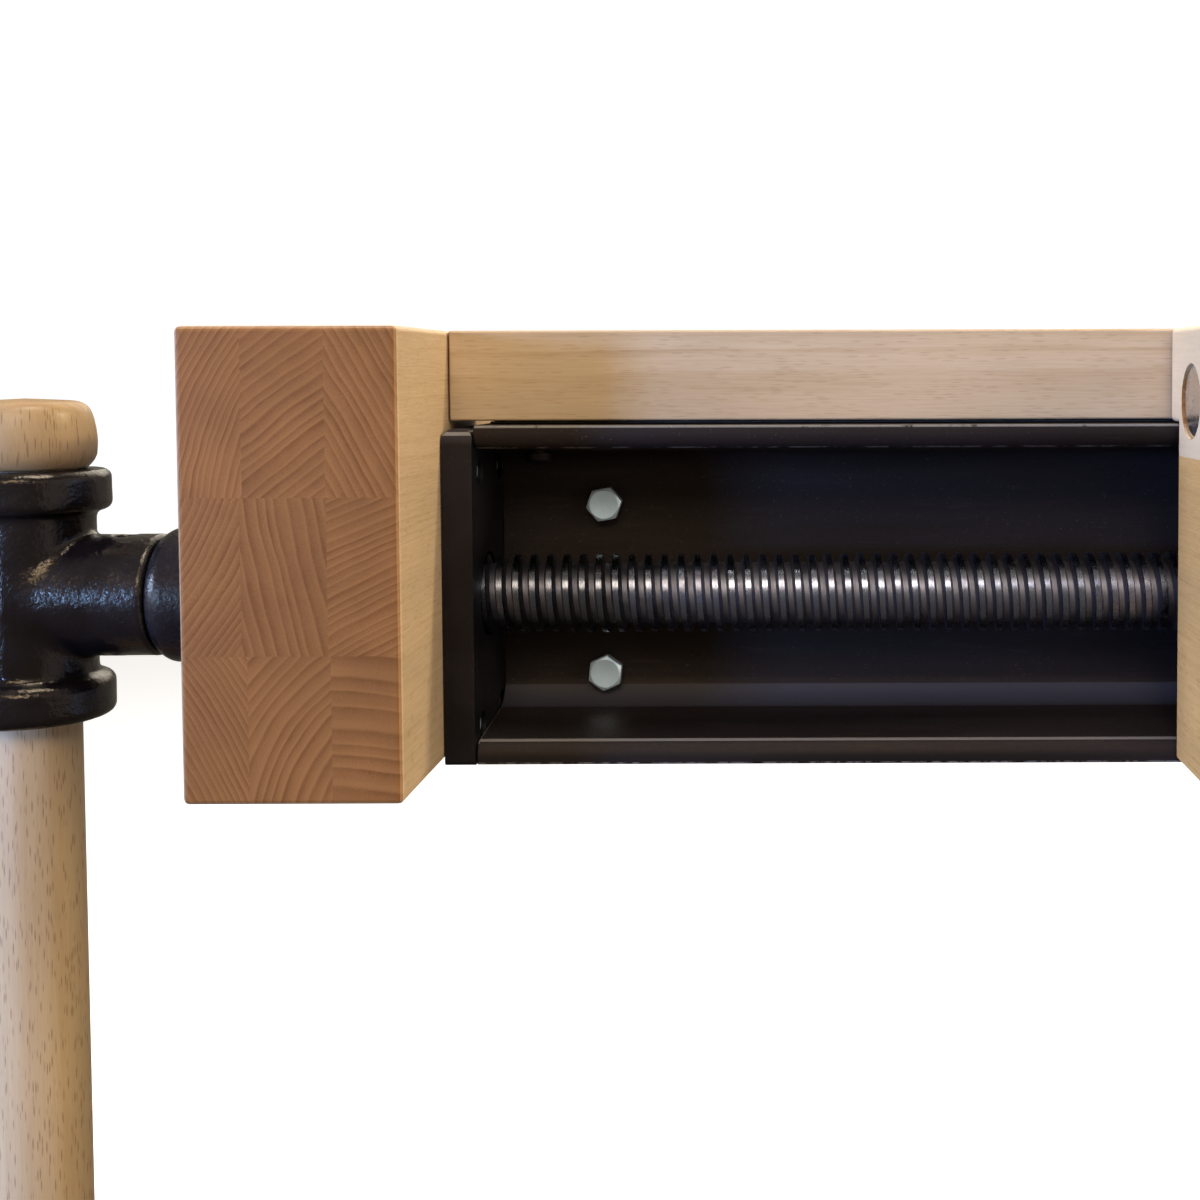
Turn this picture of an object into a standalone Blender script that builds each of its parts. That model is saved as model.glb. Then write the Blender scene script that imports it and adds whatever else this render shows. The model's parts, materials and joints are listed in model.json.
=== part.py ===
"""Woodworker's front vise: wooden jaws on a steel channel guide, driven by a lead screw.

Metres, +Z up. The origin is where the bench's front edge plane, the screw's upright
mid plane and the bench top plane meet. +X runs from the handle into the bench.
"""

import math

import bmesh
import bpy
from mathutils import Matrix, Vector

# screw and hub
SCREW_Z = -0.0803
SCREW_RADIUS = 0.012
JOURNAL_RADIUS = 0.010
TAIL_RADIUS = 0.008
THREAD_START_X = -0.2550
THREAD_END_X = 0.1440
TAIL_END_X = 0.1535
SPIGOT_END_X = -0.3780
HUB_X = -0.3940

# tee hub casting
HUB_TOP_Z = -0.0418
HUB_BOTTOM_Z = -0.1178
HUB_BODY_RADIUS = 0.0192
HUB_RIM_RADIUS = 0.0238
HUB_RIM_HEIGHT = 0.0126
BRANCH_RADIUS = 0.0186
BRANCH_END_X = -0.3522
BAR_BORE_RADIUS = 0.0146

# tommy bar
BAR_RADIUS = 0.01405
BAR_TOP_Z = -0.0280
BAR_BOTTOM_Z = -0.3180
KNOB_RADIUS = 0.0201
KNOB_HEIGHT = 0.0215
TOP_KNOB_Z = -0.0415
BOTTOM_KNOB_Z = -0.3030

# front jaw
FRONT_JAW_FACE_X = -0.2620
FRONT_JAW_THICKNESS = 0.0583
JAW_HALF_WIDTH = 0.0700
JAW_HEIGHT = 0.1265
JAW_CHAMFER = 0.0014

# rear jaws
REAR_JAW_FACE_X = -0.0470
REAR_JAW_BACK_X = -0.0003
LEDGE_Z = -0.0275
NEAR_JAW_UPPER_Y = -0.0149
NEAR_JAW_LOWER_Y = -0.0240
FAR_JAW_UPPER_Y = 0.0282
FAR_JAW_LOWER_Y = 0.0429
FAR_STEP_Z = -0.0500

# guide channel
CHANNEL_TOE_Y = -0.0226
CHANNEL_BACK_Y = 0.0274
CHANNEL_WEB = 0.0060
CHANNEL_TOP_Z = -0.0280
CHANNEL_BOTTOM_Z = -0.1280
FLANGE_MEAN = 0.0085
FLANGE_TAPER = 0.08
CHANNEL_ROOT_RADIUS = 0.0085
CHANNEL_TOE_RADIUS = 0.0045
CHANNEL_START_X = -0.2525
CHANNEL_END_X = 0.1450
PLATE_START_X = -0.2617
PLATE_END_X = -0.2528
PLATE_NEAR_Y = -0.0236

# rails
TOP_RAIL_NEAR_Y = -0.0124
TOP_RAIL_FAR_Y = 0.0274
TOP_RAIL_BOTTOM_Z = -0.0269
BACK_RAIL_FAR_Y = 0.0417
BACK_RAIL_HALF_HEIGHT = 0.0300
WEB_SCREW_Z = -0.0815
WEB_SCREW_SPREAD = 0.0270
WEB_SCREW_FRONT_X = -0.2196
WEB_SCREW_REAR_X = 0.1330

# saddle and front plate fixed under the bench
SADDLE_NEAR_Y = -0.0241
SADDLE_FAR_Y = 0.0429
SADDLE_STEEL = 0.0050
SADDLE_FLOOR_Z = -0.1295
SADDLE_LENGTH = 0.1300
FLANGE_NEAR_Y = -0.0750
FLANGE_FAR_Y = 0.0950
BENCH_UNDERSIDE_Z = -0.0280
SADDLE_HOLE_RADIUS = 0.0045
SHOE_START_X = 0.0103
SHOE_END_X = 0.1200

GAP = 0.0003
SCREW_AXIS = Vector((0.0, 0.0, SCREW_Z))
BAR_AXIS = Vector((HUB_X, 0.0, SCREW_Z))


def clear_scene():
    for item in list(bpy.data.objects):
        bpy.data.objects.remove(item)


def make_material(name, colour, roughness, metallic):
    mat = bpy.data.materials.new(name)
    mat.use_nodes = True
    shader = mat.node_tree.nodes["Principled BSDF"]
    shader.inputs["Base Color"].default_value = (*colour, 1.0)
    shader.inputs["Roughness"].default_value = roughness
    shader.inputs["Metallic"].default_value = metallic
    mat.diffuse_color = (*colour, 1.0)
    return mat


LOOKS = {
    "beech": ((0.55, 0.36, 0.20), 0.55, 0.0),
    "oak": ((0.42, 0.27, 0.15), 0.60, 0.0),
    "black": ((0.025, 0.023, 0.027), 0.45, 0.0),
    "zinc": ((0.62, 0.65, 0.66), 0.35, 0.9),
    "steel": ((0.45, 0.43, 0.40), 0.35, 1.0),
    "bronze": ((0.55, 0.38, 0.17), 0.40, 1.0),
    "nylon": ((0.75, 0.74, 0.70), 0.50, 0.0),
    "packing": ((0.05, 0.045, 0.04), 0.80, 0.0),
}


def place(name, bm, look, origin=None, smooth=False):
    """Turn a bmesh into a named object whose origin sits on its body's axis."""
    at = origin if origin is not None else Vector((0.0, 0.0, 0.0))
    bmesh.ops.recalc_face_normals(bm, faces=bm.faces)
    mesh = bpy.data.meshes.new(name)
    bm.to_mesh(mesh)
    bm.free()
    mesh.transform(Matrix.Translation(-at))
    mesh.materials.append(make_material(name, *LOOKS[look]))
    if smooth:
        mesh.polygons.foreach_set("use_smooth", [True] * len(mesh.polygons))
        mesh.set_sharp_from_angle(angle=math.radians(32))
    thing = bpy.data.objects.new(name, mesh)
    thing.location = at
    bpy.context.scene.collection.objects.link(thing)
    return thing


def block(low, high, chamfer=0.0):
    bm = bmesh.new()
    bmesh.ops.create_cube(bm, size=1.0)
    size = Vector(high) - Vector(low)
    middle = (Vector(high) + Vector(low)) / 2
    for vert in bm.verts:
        vert.co = Vector(a * b for a, b in zip(vert.co, size)) + middle
    if chamfer:
        bmesh.ops.bevel(bm, geom=bm.edges[:], offset=chamfer, segments=1, affect="EDGES")
    return bm


def rounded(corners):
    """A polygon with its corners rounded. Each corner is (u, v, radius, steps)."""
    points = []
    count = len(corners)
    for i, (u, v, radius, steps) in enumerate(corners):
        here = Vector((u, v))
        if radius <= 0:
            points.append(here)
            continue
        before = Vector(corners[i - 1][:2]) - here
        after = Vector(corners[(i + 1) % count][:2]) - here
        half = before.angle(after) / 2
        reach = radius / math.tan(half)
        start = here + before.normalized() * reach
        middle = here + (before.normalized() + after.normalized()).normalized() * radius / math.sin(half)
        spoke = start - middle
        turn = (math.pi - 2 * half) * (-1 if before.cross(after) > 0 else 1)
        for k in range(steps + 1):
            points.append(middle + Matrix.Rotation(turn * k / steps, 2) @ spoke)
    return points


def prism_x(points, start, end):
    """Sweep a (y, z) outline along X."""
    bm = bmesh.new()
    front = [bm.verts.new((start, p[0], p[1])) for p in points]
    back = [bm.verts.new((end, p[0], p[1])) for p in points]
    bm.faces.new(front)
    bm.faces.new(back[::-1])
    for i in range(len(points)):
        j = (i + 1) % len(points)
        bm.faces.new((front[i], front[j], back[j], back[i]))
    return bm


def turned(profile, axis, centre, steps, hollow=False, phase=0.0):
    """Revolve (along, radius[, "hex"]) stations about an axis. A hollow one closes on itself."""
    bm = bmesh.new()
    rings = []
    for station in profile:
        ring = []
        for k in range(steps):
            angle = phase + 2 * math.pi * k / steps
            radius = station[1]
            if len(station) > 2:
                radius /= math.cos((angle - phase) % (math.pi / 3) - math.pi / 6)
            a = radius * math.cos(angle)
            b = radius * math.sin(angle)
            spot = {"X": (station[0], a, b), "Y": (a, station[0], b), "Z": (a, b, station[0])}[axis]
            ring.append(bm.verts.new(Vector(spot) + Vector(centre)))
        rings.append(ring)
    pairs = list(zip(rings, rings[1:]))
    if hollow:
        pairs.append((rings[-1], rings[0]))
    else:
        bm.faces.new(rings[0])
        bm.faces.new(rings[-1][::-1])
    for one, two in pairs:
        for k in range(steps):
            m = (k + 1) % steps
            bm.faces.new((one[k], one[m], two[m], two[k]))
    return bm


def cut(target, cutters, keep="DIFFERENCE"):
    """Shape a solid with hidden helper solids."""
    for number, bm in enumerate(cutters):
        helper = place(f"{target.name}_cutter_{number}_{len(target.modifiers)}", bm, "steel")
        helper.hide_render = True
        helper.display_type = "WIRE"
        shape = target.modifiers.new(f"cut_{number}", "BOOLEAN")
        shape.operation = keep
        shape.solver = "EXACT"
        shape.object = helper


def drill(axis, centre, radius, start, end, steps=10):
    return turned([(start, radius), (end, radius)], axis, centre, steps)


def hex_screw(name, axis, centre, seat, sign, across, head, shank, length, look, origin=None, collar=0.0):
    """A hexagon head screw. The head stands on the seat, away from the shank."""
    top = seat - sign * (head + collar)
    flat = across / 2
    profile = [
        (top, flat * 0.93),
        (top + sign * head * 0.14, flat, "hex"),
        (seat - sign * collar, flat, "hex"),
    ]
    if collar:
        profile += [(seat - sign * collar, flat * 0.78), (seat, flat * 0.78)]
    profile += [
        (seat, shank),
        (seat + sign * (length - shank * 0.5), shank),
        (seat + sign * length, shank * 0.55),
    ]
    bm = turned(profile, axis, centre, 12)
    return place(name, bm, look, origin)


def sunk_screw(name, axis, centre, seat, sign, head_radius, shank, length, look, origin=None):
    """A countersunk screw with its head flush with the seat."""
    cone = head_radius - shank
    profile = [
        (seat + sign * 0.0003, head_radius - 0.0003),
        (seat + sign * 0.0007, head_radius - 0.0003),
        (seat + sign * (0.0007 + cone), shank),
        (seat + sign * (length - shank * 0.5), shank),
        (seat + sign * length, shank * 0.55),
    ]
    return place(name, turned(profile, axis, centre, 10), look, origin)


def sink(axis, centre, seat, sign, head_radius, shank):
    """The countersunk mouth and clearance for a sunk screw, as one cutter."""
    cone = head_radius - shank
    profile = [
        (seat - sign * 0.002, head_radius + 0.0001),
        (seat + sign * 0.0009, head_radius + 0.0001),
        (seat + sign * (0.0009 + cone), shank + GAP),
        (seat + sign * 0.100, shank + GAP),
    ]
    return turned(profile, axis, centre, 12)


def flange_under(y):
    """Flange thickness of the channel at a given y."""
    return FLANGE_MEAN + FLANGE_TAPER * (y - (CHANNEL_BACK_Y - 0.025))


def channel_outline():
    web = CHANNEL_BACK_Y - CHANNEL_WEB
    top = CHANNEL_TOP_Z
    low = CHANNEL_BOTTOM_Z
    toe = CHANNEL_TOE_Y
    return rounded([
        (CHANNEL_BACK_Y, top, 0, 0),
        (toe, top, 0, 0),
        (toe, top - flange_under(toe), CHANNEL_TOE_RADIUS, 4),
        (web, top - flange_under(web), CHANNEL_ROOT_RADIUS, 5),
        (web, low + flange_under(web), CHANNEL_ROOT_RADIUS, 5),
        (toe, low + flange_under(toe), CHANNEL_TOE_RADIUS, 4),
        (toe, low, 0, 0),
        (CHANNEL_BACK_Y, low, 0, 0),
    ])


CHOP_BOLT_SPOTS = [(-0.012, -0.042), (0.018, -0.042), (-0.012, -0.118), (0.018, -0.118)]


def front_jaw():
    face = FRONT_JAW_FACE_X
    front = face - FRONT_JAW_THICKNESS
    low = (front, -JAW_HALF_WIDTH, -JAW_HEIGHT)
    high = (face, JAW_HALF_WIDTH, 0.0)
    jaw = place("front_jaw", block(low, high, JAW_CHAMFER), "beech", SCREW_AXIS)
    axis = (0.0, 0.0, SCREW_Z)
    cut(jaw, [turned([(front - 0.01, 0.0133), (face - 0.0125, 0.0133), (face - 0.0125, 0.022),
                      (face + 0.01, 0.022)], "X", axis, 24)])
    for y, z in CHOP_BOLT_SPOTS:
        cut(jaw, [sink("X", (0, y, z), front, 1, 0.0085, 0.004)])
    for y in (-0.025, 0.025):
        cut(jaw, [drill("X", (0, y, SCREW_Z), 0.0028, front - 0.01, front + 0.0225, 8)])
    for number, (y, z) in enumerate(CHOP_BOLT_SPOTS, 1):
        length = PLATE_END_X - front - 0.001
        sunk_screw(f"jaw_screw_{number}", "X", (0, y, z), front, 1, 0.0085, 0.004, length, "zinc", SCREW_AXIS)


def end_plate():
    near = PLATE_NEAR_Y
    far = CHANNEL_BACK_Y
    top = CHANNEL_TOP_Z - 0.0010
    outline = rounded([(near, top, 0.0045, 4), (near, CHANNEL_BOTTOM_Z, 0.0015, 2),
                       (far, CHANNEL_BOTTOM_Z, 0, 0), (far, top, 0.0045, 4)])
    plate = place("end_plate", prism_x(outline, PLATE_START_X, PLATE_END_X), "black", SCREW_AXIS)
    cut(plate, [drill("X", SCREW_AXIS, 0.0130, -0.27, -0.24, 24)])
    for y, z in CHOP_BOLT_SPOTS:
        cut(plate, [drill("X", (0, y, z), 0.0043, -0.27, -0.24)])


def guide_channel():
    bm = prism_x(channel_outline(), CHANNEL_START_X, CHANNEL_END_X)
    channel = place("guide_channel", bm, "black", SCREW_AXIS)
    for x in (WEB_SCREW_FRONT_X, WEB_SCREW_REAR_X):
        for side in (1, -1):
            spot = (x, 0, WEB_SCREW_Z + side * WEB_SCREW_SPREAD)
            cut(channel, [drill("Y", spot, 0.0033, 0.015, 0.035)])
    for x in RAIL_SCREW_X:
        cut(channel, [drill("Z", (x, 0.004, 0), 0.0028, -0.045, -0.020)])


RAIL_SCREW_X = (-0.2380, 0.1330)


def top_rail():
    low = (PLATE_START_X, TOP_RAIL_NEAR_Y, TOP_RAIL_BOTTOM_Z)
    high = (CHANNEL_END_X, TOP_RAIL_FAR_Y, 0.0)
    rail = place("top_rail", block(low, high, 0.0006), "beech", SCREW_AXIS)
    for x in RAIL_SCREW_X:
        cut(rail, [drill("Z", (x, 0.004, 0), 0.0028, -0.035, -0.0095)])
    cut(rail, [drill("X", (0, 0.0170, -0.0130), 0.0028, 0.118, 0.160)])
    shim = block((-0.2500, -0.0095, -0.0277), (0.1400, 0.0245, -0.0272))
    strip = place("rail_packing", shim, "packing", SCREW_AXIS)
    for x in RAIL_SCREW_X:
        cut(strip, [drill("Z", (x, 0.004, 0), 0.0029, -0.035, -0.020)])
    for number, x in enumerate(RAIL_SCREW_X, 1):
        seat = CHANNEL_TOP_Z - flange_under(0.009) - 0.0003
        profile = [(seat - 0.0030, 0.0028), (seat - 0.0022, 0.0045), (seat, 0.0045), (seat, 0.0025),
                   (-0.0115, 0.0025), (-0.0100, 0.0012)]
        bm = turned(profile, "Z", (x, 0.004, 0), 10)
        place(f"rail_screw_{number}", bm, "black", SCREW_AXIS)


def back_rail():
    low = (-0.2510, CHANNEL_BACK_Y + GAP, SCREW_Z - BACK_RAIL_HALF_HEIGHT)
    high = (CHANNEL_END_X, BACK_RAIL_FAR_Y, SCREW_Z + BACK_RAIL_HALF_HEIGHT)
    rail = place("back_rail", block(low, high, 0.0010), "beech", SCREW_AXIS)
    web = CHANNEL_BACK_Y - CHANNEL_WEB
    number = 0
    for x in (WEB_SCREW_FRONT_X, WEB_SCREW_REAR_X):
        for side in (1, -1):
            number += 1
            spot = (x, 0, WEB_SCREW_Z + side * WEB_SCREW_SPREAD)
            cut(rail, [drill("Y", spot, 0.0033, 0.020, 0.0402)])
            hex_screw(f"web_screw_{number}", "Y", spot, web - GAP, 1, 0.010, 0.0042, 0.003, 0.0180,
                      "zinc", SCREW_AXIS, 0.0009)
    cut(rail, [drill("X", (0, 0.0347, SCREW_Z), 0.0028, 0.118, 0.160)])


def thrust_parts():
    """The plate, bush, washer and flared collar that carry the screw in the front jaw."""
    front = FRONT_JAW_FACE_X - FRONT_JAW_THICKNESS
    ring = [(front - 0.0063, 0.0125), (front - 0.0063, 0.0330), (front - 0.0053, 0.0340),
            (front - GAP, 0.0340), (front - GAP, 0.0125)]
    plate = place("thrust_plate", turned(ring, "X", SCREW_AXIS, 28, True), "black", SCREW_AXIS, True)
    for number, y in enumerate((-0.025, 0.025), 1):
        spot = (0, y, SCREW_Z)
        cut(plate, [sink("X", spot, front - 0.0063, 1, 0.0050, 0.0025)])
        sunk_screw(f"plate_screw_{number}", "X", spot, front - 0.0063, 1, 0.0050, 0.0025, 0.0280,
                   "zinc", SCREW_AXIS)
    ring = [(front - 0.0056, JOURNAL_RADIUS + GAP), (front - 0.0056, 0.0121), (front - 0.0003, 0.0121),
            (front + 0.0010, 0.0130), (FRONT_JAW_FACE_X - 0.0130, 0.0130),
            (FRONT_JAW_FACE_X - 0.0130, JOURNAL_RADIUS + GAP)]
    place("journal_bush", turned(ring, "X", SCREW_AXIS, 20, True), "bronze", SCREW_AXIS, True)
    ring = [(-0.3285, JOURNAL_RADIUS + GAP), (-0.3285, 0.0195), (-0.3269, 0.0195),
            (-0.3269, JOURNAL_RADIUS + GAP)]
    place("thrust_washer", turned(ring, "X", SCREW_AXIS, 24, True), "bronze", SCREW_AXIS, True)
    ring = [(-0.3519, JOURNAL_RADIUS + GAP), (-0.3519, 0.0175), (-0.3509, 0.0186), (-0.3490, 0.0200),
            (-0.3472, 0.0206), (-0.3300, 0.0209), (-0.3290, 0.0200), (-0.3290, JOURNAL_RADIUS + GAP)]
    place("thrust_collar", turned(ring, "X", SCREW_AXIS, 28, True), "black", SCREW_AXIS, True)


def lead_screw():
    profile = [(SPIGOT_END_X, 0.0085), (SPIGOT_END_X + 0.0015, JOURNAL_RADIUS),
               (THREAD_START_X - 0.0010, JOURNAL_RADIUS), (THREAD_START_X + 0.0010, SCREW_RADIUS),
               (THREAD_END_X - 0.0020, SCREW_RADIUS), (THREAD_END_X, TAIL_RADIUS),
               (TAIL_END_X - 0.0012, TAIL_RADIUS), (TAIL_END_X, 0.0068)]
    screw = place("lead_screw", turned(profile, "X", SCREW_AXIS, 32), "steel", SCREW_AXIS, True)
    cut(screw, [drill("Z", (-0.3640, 0, SCREW_Z), 0.0033, -0.03, 0.03)])
    cut(screw, [drill("Z", (-0.2682, 0, SCREW_Z), 0.0023, -0.03, 0.03)])
    ring = [(-0.2725, JOURNAL_RADIUS + GAP), (-0.2725, 0.0190), (-0.2640, 0.0190),
            (-0.2640, JOURNAL_RADIUS + GAP)]
    collar = place("retainer_ring", turned(ring, "X", SCREW_AXIS, 20, True), "steel", SCREW_AXIS, True)
    cut(collar, [drill("Z", (-0.2682, 0, SCREW_Z), 0.0023, -0.03, 0.03)])
    pin = [(-0.0178, 0.0020), (0.0178, 0.0020)]
    bm = turned(pin, "Z", (-0.2682, 0, SCREW_Z), 10)
    place("retainer_pin", bm, "steel", SCREW_AXIS, True)
    pin = [(-0.0172, 0.0025), (-0.0165, 0.0030), (0.0165, 0.0030), (0.0172, 0.0025)]
    bm = turned(pin, "Z", (-0.3640, 0, SCREW_Z), 10)
    place("hub_pin", bm, "steel", SCREW_AXIS, True)


def tee_hub():
    top = HUB_TOP_Z
    low = HUB_BOTTOM_Z
    rim = HUB_RIM_HEIGHT
    body = HUB_BODY_RADIUS
    wide = HUB_RIM_RADIUS
    half = [(low, wide - 0.0040), (low + 0.0015, wide - 0.0010), (low + 0.0040, wide),
            (low + rim - 0.0040, wide - 0.0003), (low + rim - 0.0010, wide - 0.0025),
            (low + rim + 0.0012, body)]
    profile = half + [(top + low - t, r) for t, r in reversed(half)]
    hub = place("tee_hub", turned(profile, "Z", (HUB_X, 0, 0), 28), "black", SCREW_AXIS, True)
    branch = [(HUB_X, BRANCH_RADIUS), (BRANCH_END_X - 0.0015, BRANCH_RADIUS),
              (BRANCH_END_X, BRANCH_RADIUS - 0.0012)]
    cut(hub, [turned(branch, "X", SCREW_AXIS, 24)], "UNION")
    cut(hub, [drill("Z", (HUB_X, 0, 0), BAR_BORE_RADIUS, -0.15, 0.0, 28)])
    cut(hub, [drill("X", SCREW_AXIS, JOURNAL_RADIUS + GAP, HUB_X, -0.34, 24)])
    cut(hub, [drill("Z", (-0.3640, 0, SCREW_Z), 0.0033, -0.03, 0.03)])


def tommy_bar():
    profile = [(BAR_BOTTOM_Z, BAR_RADIUS - 0.001), (BAR_BOTTOM_Z + 0.001, BAR_RADIUS),
               (BAR_TOP_Z - 0.001, BAR_RADIUS), (BAR_TOP_Z, BAR_RADIUS - 0.001)]
    place("tommy_bar", turned(profile, "Z", (HUB_X, 0, 0), 32), "beech", BAR_AXIS, True)
    shape = [(0.0, KNOB_RADIUS - 0.0029), (0.0040, KNOB_RADIUS - 0.0004), (0.0080, KNOB_RADIUS),
             (0.0165, KNOB_RADIUS - 0.0014), (0.0200, KNOB_RADIUS - 0.0036), (KNOB_HEIGHT, KNOB_RADIUS - 0.0078)]
    socket = BAR_RADIUS + GAP
    deep = BAR_TOP_Z - TOP_KNOB_Z + GAP
    top = [(deep, socket), (0.0, socket)] + shape
    bm = turned([(TOP_KNOB_Z + t, r) for t, r in top], "Z", (HUB_X, 0, 0), 32)
    place("top_knob", bm, "beech", BAR_AXIS, True)
    deep = BOTTOM_KNOB_Z - BAR_BOTTOM_Z + GAP
    low = [(deep, socket), (0.0, socket)] + shape
    bm = turned([(BOTTOM_KNOB_Z - t, r) for t, r in low], "Z", (HUB_X, 0, 0), 32)
    place("bottom_knob", bm, "beech", BAR_AXIS, True)


def tail_end():
    """The stop plate that closes the channel's rear end and carries the screw's tail."""
    start = CHANNEL_END_X + GAP
    end = start + 0.0060
    outline = rounded([(-0.0140, -0.0030, 0.003, 2), (-0.0140, -0.0310, 0, 0), (-0.0210, -0.0310, 0, 0),
                       (-0.0210, -0.1260, 0.004, 3), (0.0415, -0.1260, 0.004, 3),
                       (0.0415, -0.0310, 0.004, 3), (0.0270, -0.0310, 0, 0), (0.0270, -0.0030, 0.003, 2)])
    plate = place("rear_stop_plate", prism_x(outline, start, end), "black", SCREW_AXIS)
    cut(plate, [drill("X", SCREW_AXIS, 0.0113, 0.13, 0.17, 20)])
    spots = [(0.0347, SCREW_Z), (0.0170, -0.0130)]
    for number, (y, z) in enumerate(spots, 1):
        cut(plate, [drill("X", (0, y, z), 0.0028, 0.13, 0.17)])
        hex_screw(f"stop_screw_{number}", "X", (0, y, z), end + GAP, -1, 0.008, 0.0035, 0.0025, 0.0300,
                  "zinc", SCREW_AXIS)
    ring = [(start, TAIL_RADIUS + GAP), (start, 0.0110), (end, 0.0110), (end, TAIL_RADIUS + GAP)]
    place("tail_bush", turned(ring, "X", SCREW_AXIS, 20, True), "bronze", SCREW_AXIS, True)


COACH_HEAD_RADIUS = 0.0103
BOLT_HEAD_RADIUS = 0.0065
COACH_SPOTS = [("near", -0.0387, -0.0212), ("far", 0.0490, -0.0212)]
LOWER_BOLT_SPOTS = [("near", -0.0590, -0.1050), ("far", 0.0600, -0.1050)]


def rear_jaws():
    face = REAR_JAW_FACE_X
    back = REAR_JAW_BACK_X
    wide = JAW_HALF_WIDTH
    near = block((face, -wide, -JAW_HEIGHT), (back, NEAR_JAW_UPPER_Y, 0.0), JAW_CHAMFER)
    near = place("rear_jaw_near", near, "beech")
    cut(near, [block((-0.0063, -0.1, -0.2), (0.02, 0.1, LEDGE_Z)),
               block((-0.1, NEAR_JAW_LOWER_Y, -0.2), (0.05, 0.1, LEDGE_Z))])
    far = block((face, FAR_JAW_UPPER_Y, -JAW_HEIGHT), (back, wide, 0.0), JAW_CHAMFER)
    far = place("rear_jaw_far", far, "beech")
    cut(far, [block((-0.0063, -0.1, -0.2), (0.02, 0.1, LEDGE_Z)),
              block((-0.1, -0.05, -0.2), (0.05, FAR_JAW_LOWER_Y, FAR_STEP_Z))])
    for jaw, spots in ((near, (COACH_SPOTS[0], LOWER_BOLT_SPOTS[0])), (far, (COACH_SPOTS[1], LOWER_BOLT_SPOTS[1]))):
        for (_, y, z), wide in zip(spots, (COACH_HEAD_RADIUS, BOLT_HEAD_RADIUS)):
            wide += 0.00045
            bore = turned([(face - 0.01, wide), (face + 0.0080, wide), (face + 0.0080, 0.0043),
                           (0.02, 0.0043)], "X", (0, y, z), 20)
            cut(jaw, [bore])


def cap_profile(shank, length, wide, tall):
    seat = REAR_JAW_FACE_X + 0.0077
    return [(seat - tall, wide * 0.70), (seat - tall + 0.0004, wide * 0.94), (seat - tall + 0.0010, wide),
            (seat, wide), (seat, shank), (seat + length - 0.003, shank), (seat + length, shank * 0.4)]


def jaw_fasteners():
    for side, y, z in COACH_SPOTS:
        bm = turned(cap_profile(0.0040, 0.0850, COACH_HEAD_RADIUS, 0.0074), "X", (0, y, z), 16)
        place(f"coach_screw_{side}", bm, "zinc", None, True)
    for side, y, z in LOWER_BOLT_SPOTS:
        bm = turned(cap_profile(0.0040, 0.0480, BOLT_HEAD_RADIUS, 0.0070), "X", (0, y, z), 16)
        place(f"jaw_bolt_{side}", bm, "zinc", None, True)
        nut = [(0.0, 0.0043), (0.0, 0.0065, "hex"), (0.0060, 0.0065, "hex"), (0.0065, 0.0060), (0.0065, 0.0043)]
        place(f"jaw_nut_{side}", turned(nut, "X", (0, y, z), 12, True), "zinc")


def front_plate():
    low = SADDLE_FLOOR_Z - SADDLE_STEEL - 0.0055
    top = BENCH_UNDERSIDE_Z - GAP
    floor = SADDLE_FLOOR_Z - 0.0004
    outline = rounded([(FLANGE_NEAR_Y, top, 0, 0), (FLANGE_NEAR_Y, low, 0.010, 4), (FLANGE_FAR_Y, low, 0.010, 4),
                       (FLANGE_FAR_Y, top, 0, 0), (0.0434, top, 0, 0), (0.0434, floor, 0.002, 2),
                       (-0.0246, floor, 0.002, 2), (-0.0246, top, 0, 0)])
    plate = place("front_plate", prism_x(outline, -0.0060, -GAP), "black")
    for _, y, z in LOWER_BOLT_SPOTS:
        cut(plate, [drill("X", (0, y, z), 0.0043, -0.02, 0.02)])


def saddle_bolt_spots():
    return [(x, z) for x in (0.0280, 0.1020) for z in (-0.0500, -0.1110)]


def guide_saddle():
    t = SADDLE_STEEL
    near = SADDLE_NEAR_Y
    far = SADDLE_FAR_Y
    top = BENCH_UNDERSIDE_Z
    floor = SADDLE_FLOOR_Z
    outline = rounded([
        (FLANGE_NEAR_Y, top, 0, 0), (near, top, t + 0.002, 4), (near, floor, 0.0012, 2),
        (far, floor, 0.0012, 2), (far, top, t + 0.002, 4), (FLANGE_FAR_Y, top, 0, 0),
        (FLANGE_FAR_Y, top - t, 0, 0), (far + t, top - t, 0.002, 2), (far + t, floor - t, t + 0.0012, 4),
        (near - t, floor - t, t + 0.0012, 4), (near - t, top - t, 0.002, 2), (FLANGE_NEAR_Y, top - t, 0, 0),
    ])
    saddle = place("guide_saddle", prism_x(outline, 0.0, SADDLE_LENGTH), "black")
    for x in (0.0200, 0.1100):
        for y in (-0.0520, 0.0720):
            cut(saddle, [drill("Z", (x, y, 0), SADDLE_HOLE_RADIUS, -0.045, -0.020, 16)])
    for x, z in saddle_bolt_spots():
        cut(saddle, [drill("Y", (x, 0, z), 0.0043, -0.035, -0.015)])
    low = floor - t
    bead = [(0.0003, low - 0.0003), (0.0003, low - 0.0048), (0.0016, low - 0.0030), (0.0048, low - 0.0003)]
    bm = bmesh.new()
    ends = [[bm.verts.new((x, y, z)) for x, z in bead] for y in (-0.0160, 0.0360)]
    bm.faces.new(ends[0])
    bm.faces.new(ends[1][::-1])
    for k in range(4):
        m = (k + 1) % 4
        bm.faces.new((ends[0][k], ends[0][m], ends[1][m], ends[1][k]))
    place("saddle_weld", bm, "steel")


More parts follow.
